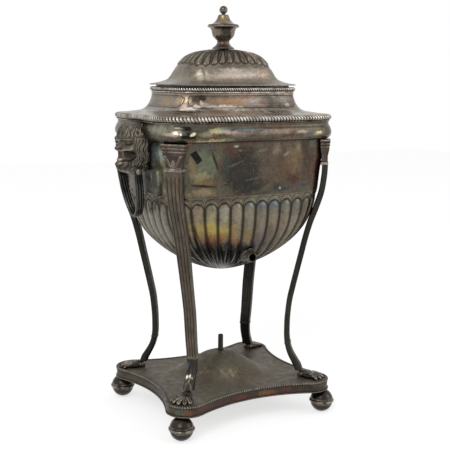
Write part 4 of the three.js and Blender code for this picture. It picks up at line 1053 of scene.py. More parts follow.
def hex_nut(radius, low, high, hole=None):
    """A six-sided nut with turned corners."""
    sides = 6 * 8
    a = np.arange(sides) / sides * TAU
    flat = radius * math.cos(math.pi / 6) / np.cos((a + math.pi / 6) % (math.pi / 3) - math.pi / 6)
    flat = np.minimum(flat, radius * 0.985)
    soft = np.minimum(flat, radius * 0.9)
    levels = [(soft, low), (flat, low + 0.5), (flat, high - 0.5), (soft, high)]
    if hole:
        levels += [(hole, high), (hole, low)]
    rows = [np.stack([r * np.cos(a), r * np.sin(a), np.full(sides, z)], 1) for r, z in levels]
    return closed_grid(np.array(rows)) if hole else capped_grid(np.array(rows))


def build_small_parts(dark, steel):
    pin = [(2.0, -PLATE - 5), (2.0, 0.4), (4.2, FIT), (4.4, 0.9), (3.6, 1.5), (3.3, 2.4), (3.25, 19.3),
           (2.9, 20.1), (2.3, 20.3), (2.2, 19.2)]
    lathe_piece("burner_pin", "turned", raised(pin, dome_top), dark, 48)
    top = dome_top - PLATE - FIT
    nut = hex_nut(5, top - 3, top, 2.3)
    piece("burner_pin_nut", "hex", [nut], steel, 30)
    rod_foot = lid_top - 2.4 - 6
    thread = [(1.8 - 0.12 * (i % 2), rod_foot + 0.35 * i) for i in range(20)]
    rod = thread + [(1.8, rod_foot + 7.2), (1.8, ball_foot + 4.5), (1.5, ball_foot + 4.7)]
    lathe_piece("finial_rod", "threaded", rod, steel, 24, body="lid")
    nut_top = rod_foot + 6 - FIT
    nut = hex_nut(4.6, nut_top - 2.8, nut_top, 2.1)
    piece("finial_nut", "hex", [nut], steel, 30, body="lid")
    head = bead_foot - FIT
    bolt = [hex_nut(4, head - 2.6, head), turned([(1.8, head - 0.2), (1.8, paw_foot + 4)], 24)]
    for name, (x, y) in CORNERS.items():
        turn = corner_turn(x, y, PAW_ANGLE)
        at = Matrix.Translation((bolt_reach * math.cos(turn), bolt_reach * math.sin(turn), 0))
        parts = [moved(part, at) for part in bolt]
        piece(f"paw_bolt_{name}", "hex", parts, steel, 30)


# Lion masks, bails and their pins.

MASK_H = 57.0
MASK_STAND = 3.0
MASK_STATIONS = (  # share of the height, reach of the middle and of the cheeks, half width and its middle's
    (0, 19, 14, 15, 9), (.04, 28.7, 17, 19, 8.5), (.09, 31.2, 18.5, 21.5, 8), (.145, 32.3, 19.5, 23, 7.5),
    (.21, 29.6, 18, 24.2, 7.5), (.28, 24.8, 16.5, 25, 8), (.36, 24.4, 17.5, 25.6, 8),
    (.41, 29.2, 21, 25.8, 6.5), (.463, 32.9, 24, 26, 6.2), (.51, 31.6, 23.6, 26, 6), (.55, 29.4, 23, 26, 6.5),
    (.6, 27.4, 22.4, 26, 9), (.635, 28, 22.8, 26, 13), (.68, 29.1, 23.6, 26, 15), (.745, 27.4, 23, 25.8, 16),
    (.81, 26.2, 21.8, 25.2, 16), (.87, 24, 20.2, 24, 16), (.93, 21, 18, 22, 16), (.97, 17, 15, 19, 14),
    (1, 12, 11, 15, 12),
)
mask_foot = band_top - MASK_H


def mask_relief(s, w):
    """Cast detail of a lion's face in millimetres. s is 0 at the middle and 1 at the back edge, and w is 0 at
    the foot and 1 at the top."""
    def spot(cs, cw, ss, sw):
        return np.exp(-((s - cs) / ss) ** 2 - ((w - cw) / sw) ** 2)

    def waves(phase, power=1.0):
        return np.abs(np.sin(np.pi * phase)) ** power - 0.5

    relief = np.zeros_like(s)
    cheek = (1 - smoothstep(s, 0.5, 0.66)) * smoothstep(s, 0.1, 0.24)
    muzzle_top = 0.445 + 0.03 * s
    muzzle = np.clip(1 - (w - muzzle_top) / 0.13, 0, 1) * smoothstep(w, muzzle_top - 0.03, muzzle_top)
    relief += 3.0 * cheek * muzzle
    gape = 0.115 - 0.06 * np.clip(s - 0.2, 0, 1)
    mouth = (np.clip(s - 0.08, 0, 1) / 0.46) ** 2.4 + ((w - 0.3 - 0.05 * s) / gape) ** 2
    relief -= 5.6 * np.clip(1 - mouth, 0, 1) ** 0.5 * (0.5 + 0.5 * smoothstep(s, 0.03, 0.24))
    relief += 1.3 * spot(0.12, 0.42, 0.08, 0.03) + 0.9 * spot(0.3, 0.17, 0.1, 0.03)
    relief += -2.4 * spot(0.31, 0.59, 0.13, 0.04) + 2.2 * spot(0.31, 0.588, 0.075, 0.024)
    relief += 1.7 * spot(0.29, 0.648, 0.2, 0.02) - 0.7 * spot(0.31, 0.622, 0.12, 0.007)
    relief -= 1.5 * spot(0.11, 0.45, 0.035, 0.018) + 1.1 * spot(0.0, 0.7, 0.03, 0.08)
    relief += 1.1 * spot(0.13, 0.15, 0.06, 0.03) + 0.9 * spot(0.0, 0.2, 0.12, 0.018)
    relief += 1.2 * spot(0.36, 0.12, 0.16, 0.05) - 0.9 * spot(0.0, 0.245, 0.2, 0.012)
    for k in range(3):
        relief += 0.45 * spot(0.2 + 0.06 * k, 0.37 + 0.02 * k, 0.018, 0.03)

    crown = smoothstep(w, 0.64, 0.71)
    lean = s - 0.5 * (w - 0.62) + 0.03 * np.sin(w * 17) + 0.018 * np.sin(w * 41 + s * 13)
    lean += 0.02 * np.sin(s * 21 - w * 9)
    locks = waves(lean * 7.5, 0.7) + 0.3 * waves(lean * 21)
    ear_root = smoothstep(w, 0.63, 0.69) * (1 - smoothstep(w, 0.90, 0.96))
    relief += 1.35 * crown * locks * (1 - smoothstep(s, 0.56, 0.66) * ear_root)
    fall = s + 0.035 * np.sin(w * 15 + 0.8) - 0.05 * w + 0.02 * np.sin(s * 19 + w * 11)
    strands = 0.7 * waves(fall * 11, 0.75) + 0.45 * waves(fall * 25 + 1 / np.pi)
    relief += (1 - crown) * smoothstep(s, 0.54, 0.66) * (1.5 * strands + 0.7)
    jaw = 1 - smoothstep(w, 0.16, 0.24)
    beard = waves(s * 8 + 0.3 * np.sin(w * 23 + s * 5), 0.8) - 0.1
    relief += jaw * (0.9 * beard + 0.4 * waves(s * 4 - w * 11))
    ear = np.hypot((s - 0.77) / 0.17, (w - 0.8) / 0.1)
    relief += (1 - smoothstep(ear, 0.85, 1.1)) * (1.5 * (1 - ear) + 0.4)
    relief += 0.9 * spot(0.84, 0.84, 0.03, 0.04) - 1.8 * spot(0.74, 0.79, 0.05, 0.035)
    relief += 0.9 * spot(0.68, 0.86, 0.05, 0.025) + 0.8 * spot(0.9, 0.76, 0.04, 0.03)
    return relief * smoothstep(w, 0.0, 0.03) * (1 - 0.8 * smoothstep(w, 0.95, 1.0))


def build_mask(side, turn, paint):
    rows, cols = 150, 201
    table = spline(MASK_STATIONS, 12)
    w = np.linspace(0, 1, rows)[:, None]
    front, cheek, half, narrow = (np.interp(w[:, 0], table[:, 0], table[:, k])[:, None] for k in range(1, 5))
    s = np.linspace(-1, 1, cols)[None, :]
    angle = s * np.pi / 2
    y = half * np.sign(s) * np.abs(np.sin(angle)) ** 0.95
    mane = smoothstep(w, 0.16, 0.3) * (1 - smoothstep(w, 0.7, 0.86))
    y = y + 2.8 * mane * np.sign(s) * smoothstep(np.abs(s), 0.5, 0.95)
    x = MASK_STAND + (cheek - MASK_STAND) * np.cos(angle).clip(0, 1) ** 0.62
    x = x + (front - cheek) * ridge(y, 0, narrow)
    z = np.broadcast_to(mask_foot + MASK_H * w, y.shape)
    face = np.stack([BAND[0] + x, y, z], 2)
    relief = mask_relief(np.abs(s) + 0 * w, w + 0 * s)
    normals = grid_normals(face)
    normals *= np.where(normals[:, :, 0:1] + normals[:, :, 1:2] * np.sign(s)[..., None] < 0, -1, 1)
    face = face + normals * relief[..., None]
    face[..., 0] = np.minimum(face[..., 0], 143.3)
    steps = ((0.97, 0.3), (0.6, -0.6), (0.3, -0.6), (0.0, -0.6), (-0.3, -0.6), (-0.6, -0.6), (-0.97, 0.3))
    back = [np.stack([np.full(rows, BAND[0] + out), y[:, -1] * share, z[:, 0]], 1) for share, out in steps]
    grid = np.concatenate([face, np.stack(back, 1)], 1)
    flat = grid.reshape(-1, 3).copy()
    flat[:, 0] = 1.0
    for _ in range(4):
        flat = against_band(flat, 0.6)
        flat[:, 1:] = grid.reshape(-1, 3)[:, 1:]
    grid[..., 0] = np.maximum(grid[..., 0], flat[:, 0].reshape(grid.shape[:2]))
    # Hollows of the face are darkened as dirt and painted shade, with more painted shade over the open mouth,
    # and raised parts get painted highlights.
    hollow = relief - mask_smooth(relief)
    shade = 0.4 * (1 - smoothstep(w, 0.34, 0.43)) * (1 - smoothstep(np.abs(s), 0.46, 0.6))
    low = np.clip(-hollow * 1.1 + 0.2 + shade, 0, 1)
    marks = padded(low, np.clip(hollow, 0, 1), beside=len(steps))
    lug = [(2.7, -21), (4.7, -21), (5.2, -20.5), (5.2, 20.5), (4.7, 21), (2.7, 21)]
    lug = laid(turned(lug, 48, True), HANG)
    parts = [around_z(part, turn) for part in (capped_grid(grid), lug)]
    marks = joined(marks, len(lug[0]), crease=0.35, crest=0.35)
    piece(f"lion_mask_{side}", "cast", parts, paint, 75, marks)


def mask_smooth(values, passes=14):
    """Values of a grid, evened out over their neighbours."""
    out = values.copy()
    for _ in range(passes):
        wide = np.pad(out, 1, mode="edge")
        out = (wide[:-2, 1:-1] + wide[2:, 1:-1] + wide[1:-1, :-2] + wide[1:-1, 2:]) / 4
    return out


def build_bail(side, turn, paint):
    eye = BAIL_T / 2
    half, drop = BAIL_HALF - eye, BAIL_DROP - eye
    t = np.linspace(-np.pi / 2, np.pi / 2, 181)
    path = np.stack([half * np.sin(t), -drop * np.clip(np.cos(t), 0, 1) ** (2 / 1.9)], 1)
    across = across_path(path)
    outline = squarish(72, 4.5)
    a, b = outline[None, :, 0], outline[None, :, 1]
    middle = np.cos(t)[:, None]
    face = smoothstep(np.abs(b), 0.7, 0.97)
    reeds = np.abs(np.sin(np.pi * (a * 1.5 + 0.5))) ** 0.7
    ends = smoothstep(middle, 0.1, 0.22)
    off_x = a * BAIL_W / 2 * (1 - 0.1 * middle ** 3)
    off_in = b * (eye - 0.75 * face * (1 - reeds) * ends)
    inward = path[:, None, :] + across[:, None, :] * off_in[..., None]
    parts = [capped_grid(np.concatenate([off_x[..., None], inward], 2))]
    for c in (-half, half):
        rim = [(2.8, c - eye), (4.5, c - eye), (5.0, c - 1.8), (5.0, c + 1.8), (4.5, c + eye), (2.8, c + eye)]
        parts.append(laid(turned(rim, 48, True)))
    # Reed grooves are darkened as dirt and painted shade and reed tops get painted highlights; the eyes get a
    # mild painted highlight.
    low = np.clip(face * (1 - reeds) * ends * 1.5, 0, 1)
    high = np.clip(face * reeds ** 3 * ends, 0, 1)
    marks = joined(padded(low, high), len(parts[1][0]) + len(parts[2][0]), crease=0, crest=0.4)
    place = Matrix.Translation(HANG) @ Matrix.Rotation(math.radians(9), 4, "Y")
    parts = [around_z(moved(part, place), turn) for part in parts]
    piece(f"bail_{side}", "reeded", parts, paint, 50, marks, f"bail_{side}")


def build_bail_pin(side, turn, paint):
    inner = BAIL_HALF + FIT
    knob = [(2.4 + 1.3 * math.cos(s), inner + 2.1 + 2.05 * math.sin(s)) for s in np.linspace(-1.2, 1.35, 12)]
    outline = [(2.35, 0), (2.4, inner - 0.6), (2.8, inner)] + knob + [(1.2, inner + 4.2)]
    full = [(r, -y) for r, y in outline[::-1]] + outline[1:]
    part = around_z(laid(turned(full, 40), HANG), turn)
    piece(f"bail_pin_{side}", "turned", [part], paint, 50)


# Stained places and painted light.


def on_front(y, rows):
    """Stained places and painted light on the front or back, from rows of x, z, half width, half height and
    the rest.
    """
    return [((x, y, z), (half_x, 30, half_z), *rest) for x, z, half_x, half_z, *rest in rows]


def on_side(x, rows):
    """Stained places and painted light on the left or right, from rows of y, z, half depth, half height and
    the rest.
    """
    return [((x, y, z), (30, half_y, half_z), *rest) for y, z, half_y, half_z, *rest in rows]


def on_top(z, rows):
    """Stained places and painted light on the plinth's top, from rows of x, y, half width, half depth and the
    rest.
    """
    return [((x, y, z), (half_x, half_y, 14), *rest) for x, y, half_x, half_y, *rest in rows]


# Stained places, painted reflections, painted highlights and painted shade, in millimetres. The rest of a row
# is its colour, its share, how soft its edge is, its tilt in degrees and whether it is square. A later place
# lies over an earlier one.
BAND_STAINS_AND_LIGHT = on_front(-82, (
    (-67, 321, 20, 21, (98, 103, 84), 0.9),
    (-74, 306, 13, 8, (130, 122, 91), 0.85),
    (-84, 316, 4.5, 14, (121, 103, 72), 0.8),
    (-68, 299, 17, 3.5, (125, 100, 67), 0.7, 0.8, 5),
    (-71, 288, 20, 5.5, (132, 116, 89), 0.9, 0.8, -3),
    (-79, 328, 4, 7.5, (16, 14, 13), 0.98, 0.12, -35, True),
    (-70, 339, 14, 3.5, (75, 86, 91), 0.6),
    (-56, 323, 2, 20, (24, 23, 21), 0.9, 0.8, -22),
    (-69, 295, 18, 1.5, (21, 18, 16), 0.9, 0.8, 6),
    # A painted dark reflection over the middle of the front.
    (-21, 311, 29, 28, (45, 42, 39), 0.85, 0.35, -30),
    (-12, 294, 27, 13, (40, 40, 39), 0.8),
    (-34, 333, 11, 8, (75, 50, 42), 0.75),
    (-15, 334, 19, 6, (60, 46, 38), 0.6),
    (-41, 320, 6.5, 16, (59, 66, 63), 0.6),
    (-29, 339, 4, 1.5, (180, 175, 168), 0.7),
    (-23, 334, 3, 1.5, (131, 127, 122), 0.6),
    (-31, 318, 13, 1.5, (103, 95, 85), 0.55, 0.8, -20),
    (-3.5, 301, 14, 1.2, (98, 91, 84), 0.5, 0.8, -9),
    (18, 321, 18, 26, (86, 72, 60), 0.75),
    (40, 328, 5.5, 1.7, (153, 139, 123), 0.8, 0.8, -25),
    (57, 334, 4.5, 6, (137, 121, 104), 0.7),
    (6.5, 333, 8, 1.4, (122, 111, 100), 0.6, 0.8, -8),
    (26, 334, 5.5, 8, (123, 109, 97), 0.75),
    (52, 322, 16, 19, (110, 90, 69), 0.85),
    (38, 308, 13, 14, (89, 70, 53), 0.7),
    (51, 297, 15, 8.5, (67, 41, 36), 0.8),
    (64, 290, 13, 2.7, (54, 57, 73), 0.65, 0.8, -8),
    (43, 287, 13, 2.4, (62, 65, 73), 0.6, 0.8, -8),
    (70, 316, 9.5, 27, (57, 44, 38), 0.7),
    (86, 312, 11, 25, (82, 48, 39), 0.75),
    (97, 317, 5.5, 44, (50, 44, 38), 0.4),
    (29, 289, 10, 5, (35, 33, 33), 0.7),
    (32, 288, 2, 2, (176, 171, 164), 0.6),
    (5, 283, 36, 2, (49, 49, 53), 0.6, 0.8, -6),
)) + on_side(-108, (
    # Beside the mask the side is painted pale against the mask's dark reflection, a painted light; the black
    # square near the bail is painted shade.
    (-40, 313, 21, 26, (131, 131, 101), 0.92),
    (-38, 331, 19, 11, (153, 168, 167), 0.9),
    (-30, 300, 6.5, 13, (20, 19, 17), 0.95, 0.3, 0, True),
    (-31, 322, 6, 10, (150, 160, 158), 0.9, 0.5),
)) + on_front(-88, (
    # Painted reflections and highlights on the moulding: black patches with pale spots beside them and light
    # bands.
    (-93, 360, 6, 2.7, (16, 13, 12), 0.98, 0.15, 0, True),
    (-92, 351, 8.5, 2.2, (14, 11, 11), 0.98, 0.2, 0, True),
    (-93, 355, 5, 1.8, (30, 26, 23), 0.9, 0.3),
    (-87, 354, 4, 1.8, (222, 215, 173), 0.95, 0.4, -25),
    (-100, 354, 1.5, 1.6, (227, 222, 198), 0.9, 0.4),
    (-105, 354, 3.5, 3.5, (194, 173, 159), 0.8),
    (-71, 354, 11, 3.5, (145, 140, 110), 0.8),
    (-56, 357, 13, 3.5, (186, 179, 138), 0.85),
    (-61, 350, 15, 1.4, (105, 59, 45), 0.7),
    (-45, 359, 10, 2, (117, 128, 130), 0.6),
    (-38, 355, 12, 2.5, (171, 152, 137), 0.8),
    (-14, 359, 27, 2.5, (105, 116, 122), 0.7),
    (-28, 353, 16, 3.5, (124, 111, 105), 0.7),
    (15, 354, 30, 3.5, (122, 106, 95), 0.8),
    (41, 358, 17, 2.7, (97, 83, 73), 0.6),
    (57, 354, 7, 2.5, (153, 141, 122), 0.7),
    (69, 350, 15, 2, (99, 104, 109), 0.7),
    (81, 352, 8, 2.6, (178, 164, 129), 0.8),
    (2.5, 360, 46, 1.7, (73, 40, 37), 0.6),
    (-63, 346, 30, 2.5, (193, 181, 137), 0.85, 0.8, -2),
    (-89, 345, 4.5, 2.7, (167, 105, 78), 0.7),
    (-13, 344, 35, 3.6, (86, 59, 48), 0.7),
    (44, 346, 35, 2.8, (127, 108, 93), 0.75),
)) + on_side(-114, (
    # Painted highlights on the moulding's left end.
    (-62, 358, 26, 7, (143, 139, 120), 0.9),
    (-76, 354, 8.5, 3, (188, 171, 156), 0.85),
    (-60, 351, 23, 1.8, (84, 77, 65), 0.7),
))
BOWL_STAINS = on_side(-97, (
    (-10, 246, 37, 33, (123, 120, 109), 0.85),
    (-31, 236, 24, 37, (119, 114, 103), 0.85),
)) + on_front(-80, (
    (-76, 258, 8, 15, (133, 119, 94), 0.8),
    (-59, 255, 8.5, 17, (139, 132, 96), 0.85),
    (-43, 262, 7.5, 14, (137, 133, 118), 0.85),
    (-24, 259, 8.5, 17, (132, 122, 104), 0.8),
    (-6.5, 257, 9, 17, (121, 115, 100), 0.8),
    (-8, 271, 8.5, 4.5, (93, 104, 105), 0.8),
    (11, 268, 11, 8.5, (85, 96, 99), 0.8),
    (30, 269, 12, 9.5, (89, 99, 98), 0.8),
    (49, 268, 14, 9.5, (94, 99, 89), 0.75),
    (69, 266, 15, 10, (84, 85, 75), 0.7),
    (13, 248, 11, 15, (120, 108, 94), 0.8),
    (32, 246, 13, 15, (122, 106, 94), 0.8),
    (52, 244, 14, 17, (125, 118, 106), 0.8),
    (-41, 278, 52, 3, (63, 54, 47), 0.7),
    (-56, 244, 32, 10, (160, 139, 69), 0.88),
    (-46, 249, 7, 5, (123, 127, 106), 0.6),
)) + on_front(-74, (
    (-60, 233, 4.5, 4.5, (92, 70, 48), 0.6),
    (-31, 229, 5.5, 6, (100, 71, 52), 0.6),
    (-68, 237, 8, 10, (133, 111, 66), 0.75),
    (-27, 235, 8.5, 11, (135, 107, 64), 0.75),
    (-7.5, 232, 9, 13, (125, 98, 61), 0.75),
    (-54, 232, 29, 6.5, (128, 88, 50), 0.75),
    (-50, 226, 10, 7, (117, 62, 39), 0.85),
    (-22, 223, 9, 9.5, (129, 79, 54), 0.85),
    (-61, 224, 6, 9, (107, 71, 45), 0.8),
    (-36, 225, 5.5, 8, (89, 60, 60), 0.8),
)) + [((-31, -55, 204), (50, 30, 35), (15, 13, 12), 0.98, 0.3)] + on_front(-72, (
    (9, 221, 15, 12, (65, 60, 60), 0.85),
    (13, 230, 13, 8.5, (103, 87, 92), 0.7),
    (31, 220, 10, 12, (76, 58, 48), 0.7),
    (50, 223, 24, 20, (110, 102, 86), 0.7),
))
NECK_STAINS_AND_LIGHT = on_side(-80, (
    (-10, 389, 12, 8.5, (146, 116, 84), 0.8, 0.6),
    (-40, 390, 8, 7.5, (186, 162, 136), 0.8, 0.7),
)) + on_front(-53, (
    (-73, 388, 3.5, 5, (148, 112, 76), 0.7, 0.6),
    (-61, 392, 11, 5, (78, 60, 48), 0.88, 0.5),
    (-55, 393, 5.5, 4, (50, 40, 33), 0.85, 0.5),
    (-71, 381, 15, 1.8, (240, 228, 216), 0.95, 0.5, -9),
    (-77, 380, 2.5, 3.5, (226, 212, 198), 0.8, 0.5),
    (-64, 383, 3.5, 1.6, (236, 224, 212), 0.85, 0.4, 30),
    (-58, 387, 2, 3, (214, 198, 182), 0.7, 0.5),
)) + on_side(-80, (
    (-46, 383, 2.5, 3, (210, 194, 178), 0.7, 0.5),
)) + on_front(-54, (
    (-54, 386, 5, 2, (196, 176, 156), 0.6, 0.6),
    (-23, 389, 29, 5, (134, 104, 76), 0.9),
    (-38, 393, 18, 2, (112, 90, 76), 0.7, 0.6),
    (-6, 393, 16, 2, (124, 100, 84), 0.6, 0.6),
    (-31, 382, 24, 2.7, (226, 214, 200), 0.85, 0.5),
    (42, 388, 35, 11, (74, 72, 66), 0.97),
    (11, 387, 7, 4, (132, 126, 128), 0.6),
    (25, 389, 10, 3.5, (112, 88, 78), 0.7),
    (19, 384, 12, 2.2, (158, 134, 122), 0.6, 0.7),
    (52, 390, 12, 3, (88, 92, 84), 0.6),
    (59, 384, 4.5, 2.3, (186, 180, 164), 0.7, 0.6),
)) + on_front(-69, (
    # A painted highlight over the concave foot of the neck.
    (-17, 375, 79, 5, (232, 218, 202), 0.94),
    (-39, 377, 15, 4, (156, 132, 112), 0.6, 0.6),
    (-45, 379, 18, 2.5, (98, 84, 74), 0.5, 0.6),
)) + on_side(-89, (
    (-50, 378, 19, 1.2, (58, 46, 40), 0.85, 0.5, 4),
)) + on_front(-69, (
    (-87, 375, 11, 1.2, (60, 48, 42), 0.85, 0.5, 5),
    (-86, 373, 6.5, 1.6, (206, 192, 178), 0.7, 0.6),
)) + on_side(-99, (
    (-30, 376, 20, 6.5, (140, 132, 122), 0.6),
))
LID_STAINS_AND_LIGHT = on_front(-38, (
    # Light streaks on the smooth belt are painted reflections.
    (-6.5, 418, 46, 9, (178, 166, 154), 0.9),
    (-51, 418, 4, 8.5, (196, 186, 166), 0.8, 0.8, 18),
    (-43, 419, 3, 7, (182, 170, 150), 0.7),
    (-46, 422, 1.2, 6, (96, 84, 72), 0.7, 0.6),
)) + on_side(-61, (
    (14, 416, 40, 22, (128, 120, 106), 0.7),
)) + on_front(-40, (
    # More painted reflections in light and dark streaks along the belt.
    (-9, 425, 22, 2.3, (180, 168, 158), 0.7, 0.6),
    (9, 421, 28, 2.3, (150, 138, 130), 0.6, 0.6),
    (-24, 417, 21, 1.6, (176, 162, 146), 0.55, 0.6),
    (39, 423, 15, 5, (156, 136, 122), 0.6),
    (31, 417, 18, 2.7, (164, 144, 128), 0.5),
    (-1.5, 413, 36, 2.5, (112, 102, 90), 0.6, 0.6),
)) + on_front(-30, (
    (-29, 439, 24, 17, (82, 74, 62), 0.85),
    (6, 442, 37, 20, (76, 68, 57), 0.88),
)) + on_side(-51, (
    (-11, 433, 22, 15, (90, 82, 70), 0.8),
)) + on_front(-10, (
    (-2.5, 452, 21, 10, (84, 74, 64), 0.8),
)) + on_front(-14, (
    (-4, 470, 7, 6, (44, 40, 37), 0.92, 0.35, 0, True),
)) + on_side(-13, (
    (-8, 470, 4, 7.5, (120, 104, 96), 0.6),
)) + on_front(-10, (
    (9.5, 468, 5, 7, (132, 116, 106), 0.6),
    (-3.5, 452, 10, 5, (116, 94, 82), 0.6),
))
COVER_STAINS = on_front(-7, (
    (-3, 485, 5, 6, (146, 124, 84), 0.8, 0.9),
)) + on_side(-11, (
    (-10, 479, 5.5, 4, (150, 144, 134), 0.6, 0.6),
)) + on_front(-18, (
    (0.5, 478, 5, 2, (84, 78, 70), 0.7, 0.6),
))
FASCIA_STAINS = on_side(-102, (
    (43, 32, 47, 10, (74, 72, 60), 0.8),
    (-29, 32, 62, 7, (66, 60, 52), 0.7),
)) + on_front(-90, (
    (-104, 38, 12, 5, (86, 82, 68), 0.7),
)) + on_side(-105, (
    (-88, 35, 5, 3.5, (72, 92, 70), 0.8, 0.6),
)) + on_front(-95, (
    (-96, 35, 7, 3.5, (104, 72, 54), 0.8, 0.6),
    (-72, 40, 19, 6.5, (84, 54, 46), 0.8),
)) + on_front(-80, (
    (-43, 35, 13, 5, (74, 48, 50), 0.8),
    (-16, 34, 13, 5, (92, 54, 44), 0.8),
    (22, 35, 12, 4, (116, 80, 54), 0.8),
    (46, 37, 12, 4, (86, 56, 46), 0.8),
)) + on_front(-96, (
    (86, 40, 13, 5.5, (84, 78, 64), 0.7),
))
PLATE_STAINS = on_top(52, (
    (-9, -37, 13, 17, (120, 108, 90), 0.7),
    (-17, -33, 2.4, 2.7, (160, 148, 126), 0.8, 0.4),
    (-14, -37, 2.8, 3.3, (170, 156, 134), 0.8, 0.4),
    (-6.5, -35, 1.9, 2.3, (156, 144, 122), 0.8, 0.4),
    (-4.5, -39, 2.6, 3, (168, 154, 132), 0.8, 0.4),
    (-13, -41, 2.8, 2.7, (150, 136, 114), 0.8, 0.4),
    (1, -37, 1.6, 2, (150, 138, 116), 0.8, 0.4),
    (-19, -38, 1.9, 2.3, (146, 132, 110), 0.8, 0.4),
    (-4.5, -34, 2.1, 2, (146, 134, 112), 0.8, 0.4),
    (-35, -21, 6, 6, (112, 98, 80), 0.7),
    (-39, -19, 1.9, 2, (146, 130, 108), 0.8, 0.4),
    (-32, -25, 1.8, 2, (150, 134, 112), 0.8, 0.4),
)) + on_top(47, (
    (-28, -40, 35, 27, (104, 93, 80), 0.75),
    (29, -39, 26, 23, (100, 86, 70), 0.7),
)) + on_top(42, (
    (-55, -36, 19, 17, (88, 80, 66), 0.6),
    (-81, 38, 26, 23, (98, 94, 80), 0.7),
    (59, -63, 21, 17, (98, 90, 74), 0.7),
))
LEG_STAINS_AND_LIGHT = on_side(-78, (
    (-53, 76, 18, 11, (38, 36, 34), 0.92, 0.35, 0, True),
    (-65, 57, 18, 11, (46, 41, 36), 0.9, 0.5),
    # A bluish streak and a white spot on the hock are painted highlights.
    (-53, 74, 2, 8.5, (92, 98, 106), 0.8, 0.7),
    (-60, 66, 3, 3, (206, 197, 183), 0.95, 0.6),
)) + on_front(-64, (
    (-76, 65, 1.7, 1.4, (170, 160, 146), 0.8, 0.6),
)) + on_side(-82, (
    (-63, 58, 1.5, 7, (128, 114, 102), 0.7, 0.5),
)) + on_front(-68, (
    (-79, 56, 1.4, 6, (112, 100, 90), 0.7, 0.5),
)) + on_side(-78, (
    (-52, 157, 11, 40, (80, 72, 62), 0.6, 0.9),
)) + on_side(-100, (
    (-78, 281, 2, 40, (112, 92, 76), 0.6, 0.6),
)) + on_front(-78, (
    (-94, 263, 1.6, 37, (96, 90, 84), 0.6, 0.6),
)) + on_side(-90, (
    (-65, 232, 6.5, 26, (92, 78, 68), 0.5),
))

# Finishes.

pale = painted("pale_plate", [(96, 89, 80), (124, 116, 105), (142, 133, 122), (114, 104, 92)], 0.85, 0.28,
               0.46, 70, crease=((34, 29, 25), 0.95), crest=((226, 218, 206), 0.85))
rope_paint = painted("rope_plate", [(104, 96, 86), (132, 123, 111), (150, 140, 128), (118, 108, 96)], 0.85,
                     0.26, 0.42, 70, crease=((20, 17, 15), 1.0), crest=((244, 238, 228), 0.95))
lid_paint = painted("lid_plate", [(98, 90, 79), (120, 111, 98), (134, 123, 110), (108, 96, 84)], 0.85, 0.24,
                    0.44, 60, LID_STAINS_AND_LIGHT, crease=((50, 43, 36), 0.75), crest=((182, 171, 154), 0.6))
neck_paint = painted("neck_plate", [(108, 100, 90), (128, 119, 108), (140, 129, 117), (134, 114, 96)], 0.88,
                     0.2, 0.38, 60, NECK_STAINS_AND_LIGHT, flow=(1, 1, 2.2), crease=((40, 33, 28), 0.92))
band_paint = painted("band_plate", [(46, 42, 36), (74, 66, 54), (84, 80, 66), (78, 62, 50), (96, 86, 68)],
                     0.78, 0.16, 0.34, 60, BAND_STAINS_AND_LIGHT, crease=((24, 20, 17), 0.75), sparks=0.5)
bowl_paint = painted("bowl_plate", [(84, 75, 60), (108, 98, 80), (102, 97, 84), (88, 75, 60), (116, 107, 90)],
                     0.85, 0.24, 0.44, 90, BOWL_STAINS, crease=((24, 20, 16), 0.92),
                     crest=((146, 136, 116), 0.45))
cast_paint = painted("cast_plate", [(52, 45, 40), (76, 66, 59), (92, 80, 72), (64, 55, 49)], 0.8, 0.32, 0.54,
                     80, crease=((20, 16, 14), 0.98), crest=((176, 162, 146), 0.85))
paw_paint = painted("paw_plate", [(34, 30, 27), (52, 46, 41), (68, 60, 53), (42, 37, 33)], 0.8, 0.3, 0.5, 90,
                    crease=((14, 12, 11), 0.95), crest=((178, 164, 148), 0.85))
knob_paint = painted("knob_plate", [(44, 40, 36), (76, 70, 64), (108, 101, 93), (56, 51, 47)], 0.92, 0.1,
                     0.24, 160)
leg_paint = painted("leg_plate", [(50, 45, 38), (76, 69, 58), (92, 84, 71), (66, 56, 47)], 0.8, 0.28, 0.48,
                    90, LEG_STAINS_AND_LIGHT, flow=(1, 1, 0.2), crease=((30, 26, 22), 0.85),
                    crest=((128, 114, 98), 0.5))
# A darker copy of the leg finish, painted shade, for the legs away from the key lamp and for the burner pin
# under the bowl.
shaded_leg_paint = painted("shaded_leg_plate", [(26, 24, 21), (40, 37, 33), (52, 48, 42), (32, 29, 26)], 0.8,
                         0.28, 0.48, 80, flow=(1, 1, 0.3), crease=((16, 14, 12), 0.6),
                         crest=((70, 64, 57), 0.4))
mask_paint = painted("mask_plate", [(54, 49, 43), (80, 73, 64), (98, 91, 79), (64, 57, 50)], 0.8, 0.3, 0.52,
                     80, crease=((22, 19, 17), 0.92), crest=((176, 165, 150), 0.8))
pin_paint = painted("pin_plate", [(84, 84, 75), (112, 112, 100), (136, 134, 120), (94, 92, 81)], 0.85, 0.22,
                    0.4, 160)
dark_paint = painted("dark_plate", [(27, 26, 25), (42, 41, 39), (56, 55, 52), (34, 33, 31)], 0.85, 0.2, 0.4,
                     80, crease=((11, 10, 10), 0.9), crest=((116, 114, 108), 0.5))
bronze_paint = painted("foot_bronze", [(24, 21, 19), (42, 37, 33), (60, 53, 47), (32, 28, 25)], 0.84, 0.16,
                       0.36, 90, bump=0.35, crease=((14, 12, 10), 0.9), crest=((158, 148, 134), 0.85))
wire_paint = painted("edge_plate", [(62, 57, 49), (88, 82, 71), (102, 95, 83), (74, 67, 58)], 0.78, 0.34,
                     0.56, 80, crease=((26, 23, 20), 0.92), crest=((168, 160, 146), 0.65))
fascia_tones = [(40, 36, 31), (60, 50, 43), (55, 51, 44), (72, 51, 43), (56, 45, 42), (68, 64, 55)]
